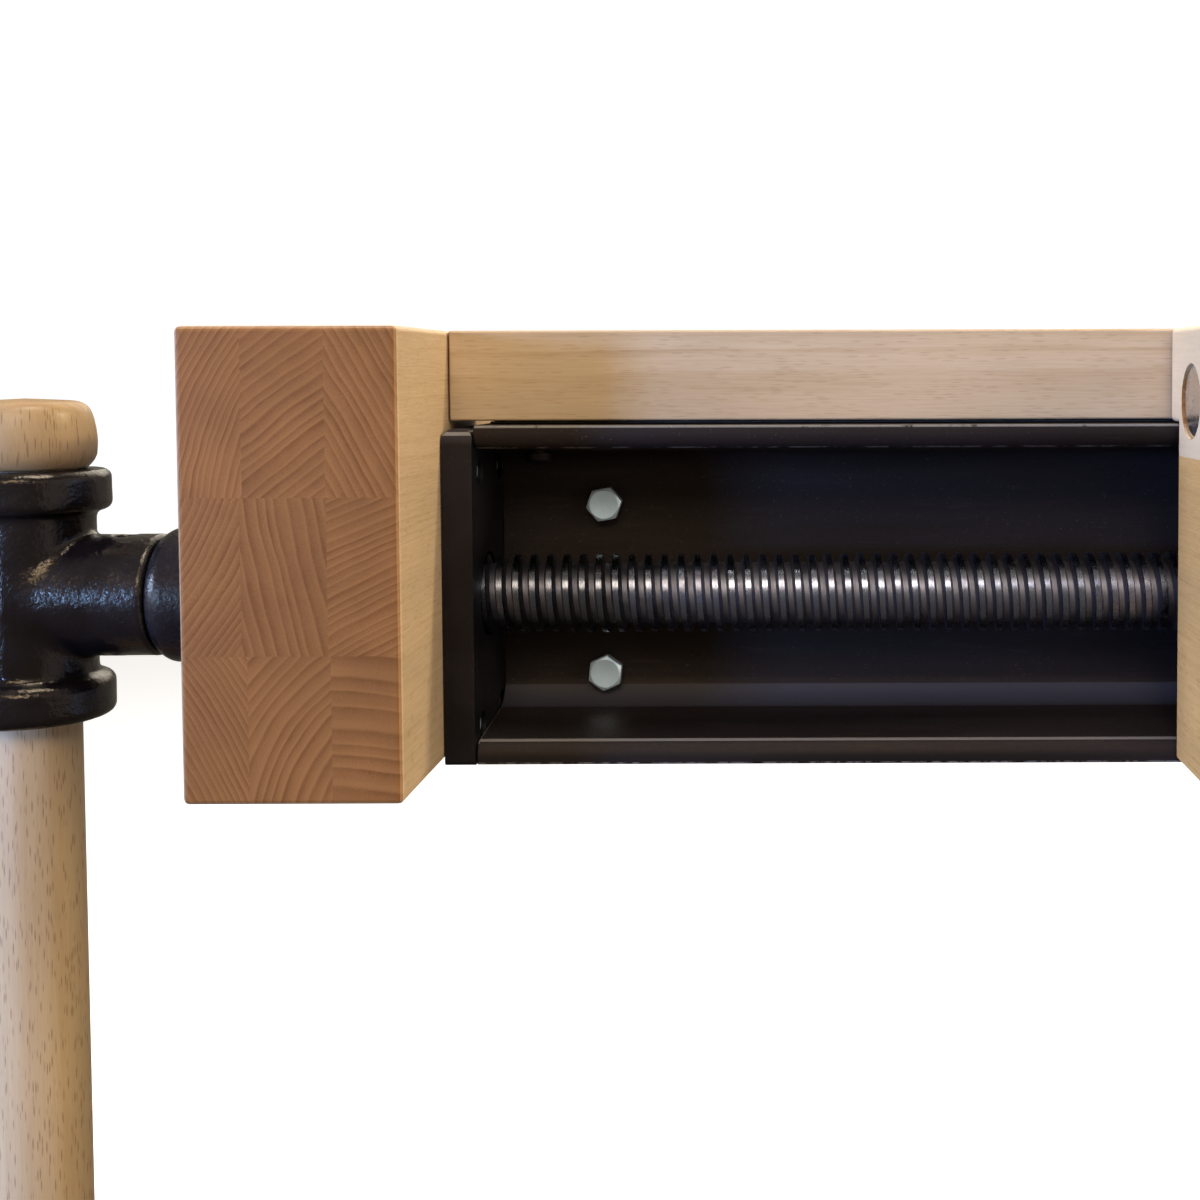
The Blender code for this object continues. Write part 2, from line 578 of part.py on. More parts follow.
def guide_shoe():
    web = CHANNEL_BACK_Y - CHANNEL_WEB - 0.0006
    near = SADDLE_NEAR_Y + GAP
    slack = 0.0006
    outline = rounded([
        (near, CHANNEL_TOP_Z - flange_under(near) - slack, 0, 0),
        (web, CHANNEL_TOP_Z - flange_under(web) - slack, 0.0095, 4),
        (web, CHANNEL_BOTTOM_Z + flange_under(web) + slack, 0.0095, 4),
        (near, CHANNEL_BOTTOM_Z + flange_under(near) + slack, 0, 0),
    ])
    shoe = place("guide_shoe", prism_x(outline, SHOE_START_X, SHOE_END_X), "oak")
    cut(shoe, [turned([(0.0, 0.0203), (0.0503, 0.0203), (0.0503, 0.0130), (0.140, 0.0130)], "X", SCREW_AXIS, 24)])
    for number, (x, z) in enumerate(saddle_bolt_spots(), 1):
        cut(shoe, [drill("Y", (x, 0, z), 0.0043, -0.030, -0.0060)])
        seat = SADDLE_NEAR_Y - SADDLE_STEEL - GAP
        hex_screw(f"shoe_bolt_{number}", "Y", (x, 0, z), seat, 1, 0.013, 0.0053, 0.004, 0.0220, "zinc")
    outline = rounded([(-0.0180, SCREW_Z + 0.0320, 0.004, 3), (-0.0180, SCREW_Z - 0.0320, 0.004, 3),
                       (0.0180, SCREW_Z - 0.0320, 0.004, 3), (0.0180, SCREW_Z + 0.0320, 0.004, 3)])
    nut = place("lead_nut", prism_x(outline, 0.0043, 0.0100), "bronze")
    cut(nut, [turned([(0.0080, 0.0200), (0.0500, 0.0200)], "X", SCREW_AXIS, 24)], "UNION")
    cut(nut, [drill("X", SCREW_AXIS, SCREW_RADIUS + GAP, -0.02, 0.07, 24)])
    for number, side in enumerate((1, -1), 1):
        spot = (0, 0, SCREW_Z + side * 0.0258)
        cut(nut, [sink("X", spot, 0.0043, 1, 0.0050, 0.0025)])
        cut(shoe, [drill("X", spot, 0.0028, 0.0, 0.0290)])
        sunk_screw(f"nut_screw_{number}", "X", spot, 0.0043, 1, 0.0050, 0.0025, 0.0240, "zinc")
    pad = block((0.0020, -0.0200, SADDLE_FLOOR_Z + GAP), (0.1280, 0.0400, CHANNEL_BOTTOM_Z - GAP))
    place("wear_pad", pad, "nylon")


clear_scene()
front_jaw()
end_plate()
guide_channel()
top_rail()
back_rail()
thrust_parts()
lead_screw()
tee_hub()
tommy_bar()
tail_end()
rear_jaws()
jaw_fasteners()
front_plate()
guide_saddle()
guide_shoe()
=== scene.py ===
import json
import math

import bmesh
import bpy
import numpy as np
from mathutils import Matrix, Vector, noise


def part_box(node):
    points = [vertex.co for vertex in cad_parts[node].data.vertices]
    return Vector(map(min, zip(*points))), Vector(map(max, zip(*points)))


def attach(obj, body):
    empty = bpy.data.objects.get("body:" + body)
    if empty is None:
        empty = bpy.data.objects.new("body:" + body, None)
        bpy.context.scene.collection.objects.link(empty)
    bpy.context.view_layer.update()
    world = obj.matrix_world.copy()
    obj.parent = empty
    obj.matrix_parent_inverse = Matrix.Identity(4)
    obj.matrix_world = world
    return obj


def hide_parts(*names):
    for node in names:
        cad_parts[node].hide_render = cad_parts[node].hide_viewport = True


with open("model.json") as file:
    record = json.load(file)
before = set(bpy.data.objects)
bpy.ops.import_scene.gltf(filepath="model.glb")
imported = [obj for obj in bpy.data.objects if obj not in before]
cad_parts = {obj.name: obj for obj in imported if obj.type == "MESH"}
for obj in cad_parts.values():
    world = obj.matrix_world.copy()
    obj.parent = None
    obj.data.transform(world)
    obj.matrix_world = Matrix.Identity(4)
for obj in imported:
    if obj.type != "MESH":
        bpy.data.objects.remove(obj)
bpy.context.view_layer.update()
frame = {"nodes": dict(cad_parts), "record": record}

BODIES = frame["record"]["behaviour"]["bodies"]
BODY_OF = {node: body for body, members in BODIES.items() for node in members}
AXES = {"X": 0, "Y": 1, "Z": 2}
MM = 0.001
SCREW_Z = -0.0803
SCREW_AXIS = (0.0, 0.0, SCREW_Z)
HUB_X = -0.394


# ---- materials

class Graph:
    """Writes a material's node tree as nested calls."""

    def __init__(self, name, **fixed):
        self.material = bpy.data.materials.new(name)
        self.material.use_nodes = True
        self.tree = self.material.node_tree
        self.shader = self.tree.nodes["Principled BSDF"]
        for socket, value in fixed.items():
            self.shader.inputs[socket.replace("_", " ")].default_value = value

    def node(self, kind, inputs, **settings):
        made = self.tree.nodes.new("ShaderNode" + kind)
        for key, value in settings.items():
            setattr(made, key, value)
        for key, value in inputs.items():
            if isinstance(value, bpy.types.NodeSocket):
                self.tree.links.new(value, made.inputs[key])
            elif value is not None:
                made.inputs[key].default_value = value
        return made

    def attr(self, name, out="Fac"):
        return self.node("Attribute", {}, attribute_name=name).outputs[out]

    def math(self, operation, a, b=None, c=None):
        return self.node("Math", {0: a, 1: b, 2: c}, operation=operation).outputs[0]

    def add(self, a, b):
        return self.math("ADD", a, b)

    def mul(self, a, b):
        return self.math("MULTIPLY", a, b)

    def fit(self, a, factor, offset):
        return self.math("MULTIPLY_ADD", a, factor, offset)

    def split(self, vector):
        return self.node("SeparateXYZ", {0: vector}).outputs[:]

    def join(self, x, y, z):
        return self.node("CombineXYZ", {0: x, 1: y, 2: z}).outputs[0]

    def scaled(self, vector, factors):
        return self.node("VectorMath", {0: vector, 1: factors}, operation="MULTIPLY").outputs[0]

    def place(self):
        """The piece's own coordinates in millimetres."""
        spot = self.node("TexCoord", {}).outputs["Object"]
        return self.scaled(spot, (1000.0, 1000.0, 1000.0))

    def noise(self, vector, scale=1.0, detail=2.0, rough=0.5):
        return self.node("TexNoise", {"Vector": vector, "Scale": scale, "Detail": detail,
                                      "Roughness": rough}).outputs["Fac"]

    def wave(self, value, scale, detail):
        return self.node("TexNoise", {"W": value, "Scale": scale, "Detail": detail},
                         noise_dimensions="1D").outputs["Fac"]

    def span(self, value, low, high, out_low=0.0, out_high=1.0, smooth=True):
        kind = "SMOOTHSTEP" if smooth else "LINEAR"
        return self.node("MapRange", {0: value, 1: low, 2: high, 3: out_low, 4: out_high},
                         interpolation_type=kind).outputs[0]

    def mix(self, share, a, b, blend="MIX"):
        a = (*a, 1.0) if isinstance(a, tuple) and len(a) == 3 else a
        b = (*b, 1.0) if isinstance(b, tuple) and len(b) == 3 else b
        return self.node("Mix", {0: share, 6: a, 7: b}, data_type="RGBA", blend_type=blend).outputs[2]

    def bump(self, height, strength, depth):
        made = self.node("Bump", {"Height": height, "Strength": strength, "Distance": depth})
        self.set("Normal", made.outputs[0])

    def set(self, socket, value):
        self.tree.links.new(value, self.shader.inputs[socket])


def wood(name, light, dark, fleck, end_light, end_dark, roughness, coat=0.0, dash=0.3, ringed=0.45):
    """Timber in each stave's own log coordinates, so rings, rays and fibres agree on every face."""
    g = Graph(name, Coat_Weight=coat, Coat_Roughness=0.25)
    u, v, along = g.split(g.attr("log", "Vector"))
    tone, spacing, pith = g.split(g.attr("stave", "Vector"))
    end = g.attr("end")
    seed = g.mul(tone, 91.7)

    def drawn(across, length, detail):
        """Noise stretched along the log, and different in each stave."""
        return g.noise(g.join(g.fit(u, across, seed), g.mul(v, across), g.mul(along, length)), 1.0, detail)

    radius = g.node("VectorMath", {0: g.join(u, v, 0.0)}, operation="LENGTH").outputs["Value"]
    radius = g.add(radius, g.fit(drawn(0.045, 0.007, 2.0), 3.0, -1.5))
    uneven = g.wave(g.fit(radius, 0.1, seed), 1.0, 2.0)
    phase = g.add(g.math("DIVIDE", radius, spacing), g.mul(uneven, 1.7))
    part = g.math("FRACT", phase)
    number = g.add(g.math("FLOOR", phase), seed)
    chance = g.node("TexWhiteNoise", {"W": number}, noise_dimensions="1D").outputs["Value"]
    late = g.math("POWER", g.span(part, 0.3, 0.92), 1.6)
    late = g.mul(late, g.span(part, 1.0, 0.9))
    early = g.mul(g.span(part, 0.42, 0.04), g.span(part, 0.0, 0.05))
    late = g.mul(late, g.span(chance, 0.0, 1.0, 0.4, 1.0, False))
    late = g.mul(late, g.span(drawn(0.11, 0.02, 2.0), 0.3, 0.68, 0.45, 1.0))
    turn = g.mul(g.math("ARCTAN2", v, u), pith)
    cell = g.join(g.mul(turn, 1.9), g.mul(along, 0.17), g.fit(radius, 0.06, seed))
    cells = g.node("TexVoronoi", {"Vector": cell, "Scale": 1.0}, feature="F1").outputs
    chosen = g.span(g.split(cells["Color"])[0], 0.25, 0.6)
    ray = g.mul(g.span(cells["Distance"], 0.44, 0.18), chosen)
    fibre = g.noise(g.join(g.mul(u, 2.4), g.mul(v, 2.4), g.mul(along, 0.06)), 1.0, 4.0, 0.6)
    blotch = drawn(0.05, 0.012, 3.0)
    pore = g.noise(g.join(u, v, g.mul(along, 0.25)), 3.2, 2.0, 0.7)
    face = g.mix(g.fit(late, ringed, g.span(fibre, 0.3, 0.75, 0.0, 0.45)), light, dark)
    face = g.mix(g.mul(ray, dash), face, fleck)
    share = g.add(g.fit(late, 0.6, 0.3), g.span(pore, 0.35, 0.7, -0.14, 0.16))
    cross = g.mix(g.fit(early, -0.3, share), end_light, end_dark)
    cross = g.mix(g.mul(ray, 0.18), cross, end_light)
    # Painted light: a stave whose tone is above 1 is mixed up to 0.6 of the way to a pale beige. The rear
    # jaws' top stave uses it to stand for light from the left on their upper part.
    face = g.mix(g.span(tone, 1.0, 2.0, 0.0, 0.6), face, (0.77, 0.61, 0.39))
    colour = g.mix(end, face, cross)
    shade = g.mul(g.span(tone, 0.0, 1.0, 0.9, 1.08, False), g.span(blotch, 0.25, 0.75, 0.9, 1.09))
    shade = g.mul(shade, g.span(g.attr("edge"), 0.0, 1.0, 1.0, 1.06))
    colour = g.mix(1.0, colour, g.join(shade, shade, shade), "MULTIPLY")
    g.set("Base Color", colour)
    g.set("Specular IOR Level", g.span(end, 0.0, 1.0, 0.3, 0.12))
    g.set("Roughness", g.span(fibre, 0.25, 0.75, roughness - 0.07, roughness + 0.09))
    height = g.math("SUBTRACT", g.fit(fibre, 0.6, g.mul(pore, 0.5)), g.fit(ray, 0.25, g.mul(late, 0.35)))
    g.bump(height, g.span(end, 0.0, 1.0, 0.3, 0.1), 0.00012)
    return g.material


def paint(name, base, roughness, peel, grainy, wear, dust, streak=(1.0, 1.0, 1.0), scuff=0.0, shine=0.34,
          depth=0.00015, tint=(1.0, 0.86, 0.72, 1.0)):
    """Black paint with an uneven gloss, dust in it, and bare metal along rubbed edges. Faces marked
    dust_and_sheen turn a lighter bluish grey, partly dust and partly a painted sheen; edge marks past 1 give
    brighter, steadier lines, partly bare metal and partly painted highlights.
    """
    g = Graph(name, Specular_IOR_Level=shine, Specular_Tint=tint)
    spot = g.place()
    long = g.scaled(spot, streak)
    cloud = g.noise(long, 0.035, 3.0)
    fine = g.noise(spot, grainy, 3.0, 0.6)
    lines = g.noise(g.scaled(spot, tuple(1.0 if s > 0.5 else 0.04 for s in streak)), 1.3, 3.0, 0.6)
    lighter = tuple(c * 2.1 + 0.003 for c in base)
    colour = g.mix(g.span(cloud, 0.35, 0.7), base, lighter)
    colour = g.mix(g.mul(g.span(lines, 0.58, 0.78), 0.35), colour, (0.03, 0.026, 0.027))
    speck = g.mul(g.span(g.noise(spot, 1.1, 1.0), 0.7, 0.76), g.span(cloud, 0.4, 0.65))
    colour = g.mix(g.mul(speck, dust), colour, (0.12, 0.105, 0.09))
    if scuff:
        rub = g.mul(g.span(g.noise(long, 0.1, 4.0, 0.7), 0.56, 0.7), scuff)
        colour = g.mix(rub, colour, (0.085, 0.06, 0.045))
    # Painted sheen: where dust_and_sheen is set the paint turns lighter and bluish. It stands partly for dust
    # and partly for the soft highlight of light from above on the channel's lower fillet.
    colour = g.mix(g.attr("dust_and_sheen"), colour, (0.038, 0.036, 0.045))
    edge = g.attr("edge")
    extra = g.math("MAXIMUM", g.math("SUBTRACT", edge, 1.0), 0.0)
    bare = g.fit(extra, 0.25, g.noise(spot, 0.22, 5.0, 0.65))
    # Edge marks up to 1 give patchy bare metal. Marks past 1 give brighter, steadier lines, which on the
    # channel stand partly for rubbed paint and partly for painted highlights along its edges.
    wear_and_highlight = g.mul(g.math("MINIMUM", edge, 1.0), g.span(bare, 0.62 - 0.3 * wear, 0.74 - 0.3 * wear))
    colour = g.mix(g.mul(wear_and_highlight, 0.8), colour, (0.19, 0.175, 0.165))
    g.set("Base Color", colour)
    rough = g.span(cloud, 0.3, 0.7, roughness - 0.08, roughness + 0.08)
    g.set("Roughness", g.add(rough, g.span(fine, 0.3, 0.7, -0.04, 0.05)))
    g.bump(g.fit(lines, 0.4, fine), peel, depth)
    return g.material


def metal(name, base, stain, roughness, stained, grit, bumpy, lay=(1.0, 1.0, 1.0), root=None, bare=1.0,
          painted_shadow=False):
    """Bare or plated metal: cloudy tarnish, fine tool marks along the lay, its own colour at thread roots, and
    where asked a painted shadow: darker towards the low X end and brighter beyond, as if a cast shadow ended
    near X = -0.205 m.
    """
    g = Graph(name, Metallic=bare)
    spot = g.place()
    cloud = g.noise(spot, 0.11, 4.0, 0.6)
    marks = g.noise(g.scaled(spot, lay), grit, 3.0, 0.65)
    colour = g.mix(g.mul(g.span(cloud, 0.4, 0.72), stained), base, stain)
    colour = g.mix(g.span(marks, 0.45, 0.8, 0.0, 0.35), colour, stain)
    rough = g.span(cloud, 0.3, 0.7, roughness - 0.05, roughness + 0.1)
    rough = g.add(rough, g.span(marks, 0.3, 0.7, -0.05, 0.06))
    if root:
        low = g.attr("root")
        colour = g.mix(g.mul(low, 0.92), colour, root)
        rough = g.fit(low, 0.25, rough)
    rubbed = tuple(min(1.0, c * 1.35) for c in base)
    colour = g.mix(g.mul(g.attr("edge"), 0.35), colour, rubbed)
    if painted_shadow:
        # Painted shadow: the colour is times 0.62 below about X = -225 mm and rises to 1.15 above -185 mm,
        # with a cloudy edge. It stands for the front jaw's cast shadow over the near end of the screw and for
        # light on the rest.
        far = g.add(g.split(spot)[0], g.span(cloud, 0.3, 0.7, -12.0, 12.0))
        lit_factor = g.span(far, -225.0, -185.0, 0.62, 1.15)
        colour = g.mix(1.0, colour, g.join(lit_factor, lit_factor, lit_factor), "MULTIPLY")
    g.set("Base Color", colour)
    g.set("Roughness", rough)
    g.bump(marks, bumpy, 0.0001)
    return g.material


def plain(name, base, dark, roughness, scale, peel):
    """Nylon and packing: a mottled, finely rough moulded or pressed sheet."""
    g = Graph(name)
    spot = g.place()
    mottle = g.noise(spot, 0.12, 4.0, 0.6)
    fine = g.noise(spot, scale, 3.0, 0.7)
    share = g.add(g.span(mottle, 0.35, 0.7, 0.0, 0.7), g.span(fine, 0.4, 0.8, 0.0, 0.3))
    g.set("Base Color", g.mix(share, base, dark))
    g.set("Roughness", g.span(fine, 0.3, 0.7, roughness - 0.08, roughness + 0.08))
    g.bump(fine, peel, 0.0001)
    return g.material


END_GRAIN = dict(end_light=(0.303, 0.128, 0.038), end_dark=(0.16, 0.054, 0.011))
TURNED = dict(end_light=(0.48, 0.315, 0.165), end_dark=(0.34, 0.19, 0.085), roughness=0.42, coat=0.12,
              dash=0.75, ringed=0.22)
jaw_beech = wood("jaw_beech", (0.64, 0.455, 0.29), (0.5, 0.315, 0.17), (0.4, 0.22, 0.105), roughness=0.5,
                 **END_GRAIN)
# A warmer, less blue beech for the rear jaws: a painted shade, standing for their clamping face lying out of
# the bluish light from the left below the top stave.
rear_beech_painted_light = wood("rear_beech_painted_light", (0.735, 0.395, 0.132), (0.57, 0.268, 0.076), (0.43, 0.182, 0.05),
                  roughness=0.5, **END_GRAIN)
rail_beech = wood("rail_beech", (0.55, 0.4, 0.25), (0.42, 0.27, 0.14), (0.33, 0.19, 0.095), roughness=0.46,
                  ringed=0.6, **END_GRAIN)
knob_beech = wood("knob_beech", (0.46, 0.295, 0.14), (0.37, 0.215, 0.09), (0.225, 0.12, 0.055), **TURNED)
bar_beech = wood("bar_beech", (0.575, 0.395, 0.218), (0.475, 0.295, 0.145), (0.29, 0.16, 0.08), **TURNED)
shoe_oak = wood("shoe_oak", (0.42, 0.28, 0.155), (0.3, 0.18, 0.09), (0.48, 0.33, 0.19),
                (0.33, 0.205, 0.11), (0.2, 0.11, 0.05), 0.58)
channel_paint = paint("channel_paint", (0.0064, 0.0044, 0.0052), 0.6, 0.32, 1.2, 0.6, 0.25,
                      (0.12, 1.0, 1.0), 0.12, shine=0.26, tint=(1.0, 0.8, 0.58, 1.0))
plate_paint = paint("plate_paint", (0.0036, 0.0031, 0.0054), 0.48, 0.22, 1.4, 0.3, 0.25, shine=0.26)
saddle_paint = paint("saddle_paint", (0.0085, 0.0075, 0.008), 0.44, 0.2, 1.2, 0.55, 0.35)
casting_paint = paint("casting_paint", (0.004, 0.003, 0.004), 0.16, 1.0, 0.62, 0.0, 0.2, shine=0.48,
                      depth=0.00019, tint=(1.0, 0.82, 0.6, 1.0))
collar_paint = paint("collar_paint", (0.0046, 0.0036, 0.0046), 0.24, 0.8, 0.7, 0.2, 0.2, shine=0.3,
                     depth=0.00022, tint=(1.0, 0.74, 0.46, 1.0))
zinc = metal("zinc", (0.67, 0.85, 1.0), (0.56, 0.69, 0.86), 0.36, 0.4, 1.4, 0.1, bare=0.6)
bright_zinc = metal("bright_zinc", (0.74, 0.75, 0.75), (0.56, 0.56, 0.54), 0.2, 0.4, 1.0, 0.06)
# The thread steel carries a painted shadow of the front jaw over its near end.
thread_steel = metal("thread_steel", (0.225, 0.238, 0.3), (0.1, 0.088, 0.096), 0.25, 0.6, 1.3, 0.15,
                     (1.6, 0.5, 0.5), (0.218, 0.21, 0.248), painted_shadow=True)
ring_steel = metal("ring_steel", (0.43, 0.415, 0.4), (0.26, 0.225, 0.195), 0.34, 0.5, 1.6, 0.1)
weld_steel = metal("weld_steel", (0.23, 0.21, 0.2), (0.11, 0.085, 0.07), 0.42, 0.7, 1.4, 0.35)
bronze = metal("bronze", (0.6, 0.405, 0.18), (0.33, 0.19, 0.08), 0.32, 0.6, 1.4, 0.12)
nylon = plain("nylon", (0.74, 0.72, 0.66), (0.6, 0.57, 0.5), 0.45, 1.1, 0.15)
# The packing is black, so the thin band it shows between the rail and the flange is as dark as a shadow gap:
# partly a painted shadow.
packing = plain("packing", (0.035, 0.032, 0.028), (0.07, 0.06, 0.048), 0.82, 2.2, 0.45)


# ---- shape tools

def rounded(corners):
    """A polygon with its corners rounded. Each corner is (u, v, radius, steps)."""
    points = []
    count = len(corners)
    for i, (u, v, radius, steps) in enumerate(corners):
        here = Vector((u, v))
        if radius <= 0:
            points.append(here)
            continue
        before = Vector(corners[i - 1][:2]) - here
        after = Vector(corners[(i + 1) % count][:2]) - here
        half = before.angle(after) / 2
        reach = radius / math.tan(half)
        start = here + before.normalized() * reach
        middle = here + (before.normalized() + after.normalized()).normalized() * radius / math.sin(half)
        spoke = start - middle
        turn = (math.pi - 2 * half) * (-1 if before.cross(after) > 0 else 1)
        for k in range(steps + 1):
            points.append(middle + Matrix.Rotation(turn * k / steps, 2) @ spoke)
    return points


def soften(profile, radius, closed=False):
    """Round a profile's corners with short curves. A station that names hex keeps its corner."""
    out = []
    count = len(profile)
    for i, station in enumerate(profile):
        lone = not closed and i in (0, count - 1)
        if lone or len(station) > 2:
            out.append(station)
            continue
        here = Vector(station[:2])
        before = Vector(profile[i - 1][:2]) - here
        after = Vector(profile[(i + 1) % count][:2]) - here
        if before.length < 1e-7 or after.length < 1e-7 or before.angle(after) > math.radians(165):
            out.append(station)
            continue
        a = here + before.normalized() * min(radius, before.length * 0.45)
        b = here + after.normalized() * min(radius, after.length * 0.45)
        for t in (0.0, 1 / 3, 2 / 3, 1.0):
            out.append(tuple(a * (1 - t) ** 2 + here * 2 * t * (1 - t) + b * t * t))
    return out


def skin(rings, hollow=False):
    """Faces between loops of points. A hollow solid closes on itself, another gets two end faces."""
    bm = bmesh.new()
    loops = [[bm.verts.new(spot) for spot in ring] for ring in rings]
    pairs = list(zip(loops, loops[1:]))
    if hollow:
        pairs.append((loops[-1], loops[0]))
    else:
        bm.faces.new(loops[0])
        bm.faces.new(loops[-1][::-1])
    for one, two in pairs:
        for k in range(len(one)):
            m = (k + 1) % len(one)
            bm.faces.new((one[k], one[m], two[m], two[k]))
    return bm


def around(axis, along, radius, angle, centre):
    a = radius * math.cos(angle)
    b = radius * math.sin(angle)
    spot = {"X": (along, a, b), "Y": (a, along, b), "Z": (a, b, along)}[axis]
    return Vector(spot) + Vector(centre)


def hex_reach(flat, angle, turn=0.0):
    """How far a hexagon with this half width reaches at an angle."""
    return flat / math.cos((angle - turn) % (math.pi / 3) - math.pi / 6)


def lathe(profile, axis, centre, steps=64, hollow=False):
    """Revolve (along, radius[, "hex"]) stations about an axis."""
    angles = [2 * math.pi * k / steps for k in range(steps)]
    rings = []
    for along, radius, *hexagon in profile:
        reach = [hex_reach(radius, angle) if hexagon else radius for angle in angles]
        rings.append([around(axis, along, r, angle, centre) for r, angle in zip(reach, angles)])
    return skin(rings, hollow)


def hex_lathe(stations, flat, turn, axis, centre, steps, hollow=False):
    """Like lathe, but a station turns the hexagon's reach at an angle into (along, radius)."""
    angles = [2 * math.pi * k / steps for k in range(steps)]
    rings = []
    for station in stations:
        spots = [station(hex_reach(flat, angle, turn)) for angle in angles]
        rings.append([around(axis, *spot, angle, centre) for spot, angle in zip(spots, angles)])
    return skin(rings, hollow)


def block(low, high):
    bm = bmesh.new()
    bmesh.ops.create_cube(bm, size=1.0)
    size = Vector(high) - Vector(low)
    middle = (Vector(high) + Vector(low)) / 2
    for vert in bm.verts:
        vert.co = Vector(a * b for a, b in zip(vert.co, size)) + middle
    return bm


def ends(node, axis="X"):
    """Where a node's box begins and ends along an axis."""
    return [corner[AXES[axis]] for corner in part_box(node)]


def prism_x(points, start, end):
    return skin([[(x, p[0], p[1]) for p in points] for x in (start, end)])


def ease(bm, width, segments=2):
    """Round the sharp edges and mark the new faces, which is where paint wears."""
    bmesh.ops.recalc_face_normals(bm, faces=bm.faces)
    layer = bm.loops.layers.float.get("edge") or bm.loops.layers.float.new("edge")
    sharp = [e for e in bm.edges if len(e.link_faces) == 2 and e.calc_face_angle(0.0) > math.radians(50.0)]
    made = bmesh.ops.bevel(bm, geom=sharp, offset=width, segments=segments, profile=0.5, affect="EDGES",
                           clamp_overlap=True)
    for face in made["faces"]:
        for loop in face.loops:
            loop[layer] = 1.0
    return bm


def stand(name, data):
    thing = bpy.data.objects.new(name, data)
    bpy.context.scene.collection.objects.link(thing)
    return thing


def as_object(name, bm):
    bmesh.ops.recalc_face_normals(bm, faces=bm.faces)
    mesh = bpy.data.meshes.new(name)
    bm.to_mesh(mesh)
    bm.free()
    return stand(name, mesh)


def evaluated(thing):
    """The bmesh of an object with its modifiers applied. The object is removed."""
    graph = bpy.context.evaluated_depsgraph_get()
    mesh = bpy.data.meshes.new_from_object(thing.evaluated_get(graph))
    bm = bmesh.new()
    bm.from_mesh(mesh)
    bpy.data.meshes.remove(mesh)
    bpy.data.objects.remove(thing)
    return bm


def bored(bm, cutters):
    """Cut closed solids out of another."""
    body = as_object("temp_body", bm)
    helpers = [as_object(f"temp_cutter_{i}", cutter) for i, cutter in enumerate(cutters)]
    for helper in helpers:
        shape = body.modifiers.new("cut", "BOOLEAN")
        shape.operation = "DIFFERENCE"
        shape.solver = "EXACT"
        shape.object = helper
    bpy.context.view_layer.update()
    result = evaluated(body)
    for helper in helpers:
        bpy.data.objects.remove(helper)
    return result


def hole(axis, centre, radius, start, end, steps=48):
    return lathe([(start, radius), (end, radius)], axis, centre, steps)


def cad_copy(node):
    """The CAD node's own solid, with its flat faces whole again."""
    bm = bmesh.new()
    bm.from_mesh(frame["nodes"][node].data)
    for layers in (bm.loops.layers.float_vector, bm.loops.layers.uv, bm.loops.layers.color):
        for layer in list(layers.values()):
            layers.remove(layer)
    bmesh.ops.remove_doubles(bm, verts=bm.verts, dist=2e-6)
    bmesh.ops.dissolve_limit(bm, angle_limit=math.radians(1.0), verts=bm.verts, edges=bm.edges)
    return bm


def show(node, bm, finish, sharp=40.0):
    """Make the finished piece, put it on its body, and let it stand for the CAD node."""
    thing = as_object(node + "_detail", bm)
    mesh = thing.data
    mesh.materials.append(finish)
    mesh.polygons.foreach_set("material_index", [0] * len(mesh.polygons))
    mesh.polygons.foreach_set("use_smooth", [True] * len(mesh.polygons))
    mesh.set_sharp_from_angle(angle=math.radians(sharp))
    level = thing.modifiers.new("even_normals", "WEIGHTED_NORMAL")
    level.keep_sharp = True
    level.weight = 100
    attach(thing, BODY_OF[node])
    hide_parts(node)
    return thing


def grain(bm, axis, stave_of):
    """Give every face corner its place in the log, in millimetres, and what stave it belongs to.

    stave_of(face centre) says (ring centre across, ring centre up, spacing, pith radius, tone, along shift).
    """
    log = bm.loops.layers.float_vector.new("log")
    stave = bm.loops.layers.float_vector.new("stave")
    end = bm.loops.layers.float.new("end")
    a, b = [i for i in range(3) if i != AXES[axis]]
    c = AXES[axis]
    bm.normal_update()
    for face in bm.faces:
        u0, v0, spacing, pith, tone, shift = stave_of(face.calc_center_median())
        across = min(1.0, max(0.0, (abs(face.normal[c]) - 0.35) / 0.5))
        for loop in face.loops:
            p = loop.vert.co
            loop[log] = (p[a] / MM - u0, p[b] / MM - v0, p[c] / MM + shift)
            loop[stave] = (tone, spacing, pith)
            loop[end] = across
    return bm


def stave(middle, direction, bend, side, spacing, tone, shift):
    """Ring data for a stave. Its rings run at an angle through its middle and curve to one side."""
    toward = math.radians(direction + 90.0 * side)
    centre = (middle[0] + bend * math.cos(toward), middle[1] + bend * math.sin(toward))
    return (*centre, spacing, bend, tone, shift)


def slice_at(bm, axis, value, low=None, high=None, between=None):
    """Split the faces at a plane, only those within a band of another axis where one is given."""
    normal = Vector((0.0, 0.0, 0.0))
    normal[AXES[axis]] = 1.0
    faces = bm.faces[:]
    if between:
        i = AXES[between]
        faces = [f for f in faces if low <= f.calc_center_median()[i] <= high]
    chosen = set(faces)
    for face in faces:
        chosen.update(face.edges)
        chosen.update(face.verts)
    bmesh.ops.bisect_plane(bm, geom=list(chosen), dist=1e-7, plane_co=normal * value, plane_no=normal)


# ---- timber

# Where each fastener of the jaws stands, across and up, and how wide its hole is
COACH_SPOTS = {"near": (-0.0387, -0.0212), "far": (0.049, -0.0212)}
BOLT_SPOTS = {"near": (-0.059, -0.105), "far": (0.06, -0.105)}
COACH_BORE, BOLT_BORE = 0.01075, 0.00695
JAW_SCREW_SPOTS = [(y, z) for y in (-0.012, 0.018) for z in (-0.042, -0.118)]
M8_HOLE = 0.0043

CHOP_ROWS = (-0.0451, -0.0869)
CHOP_SPLITS = ((-0.303, -0.2812), (-0.3038, -0.2811), (-0.3024, -0.2805))
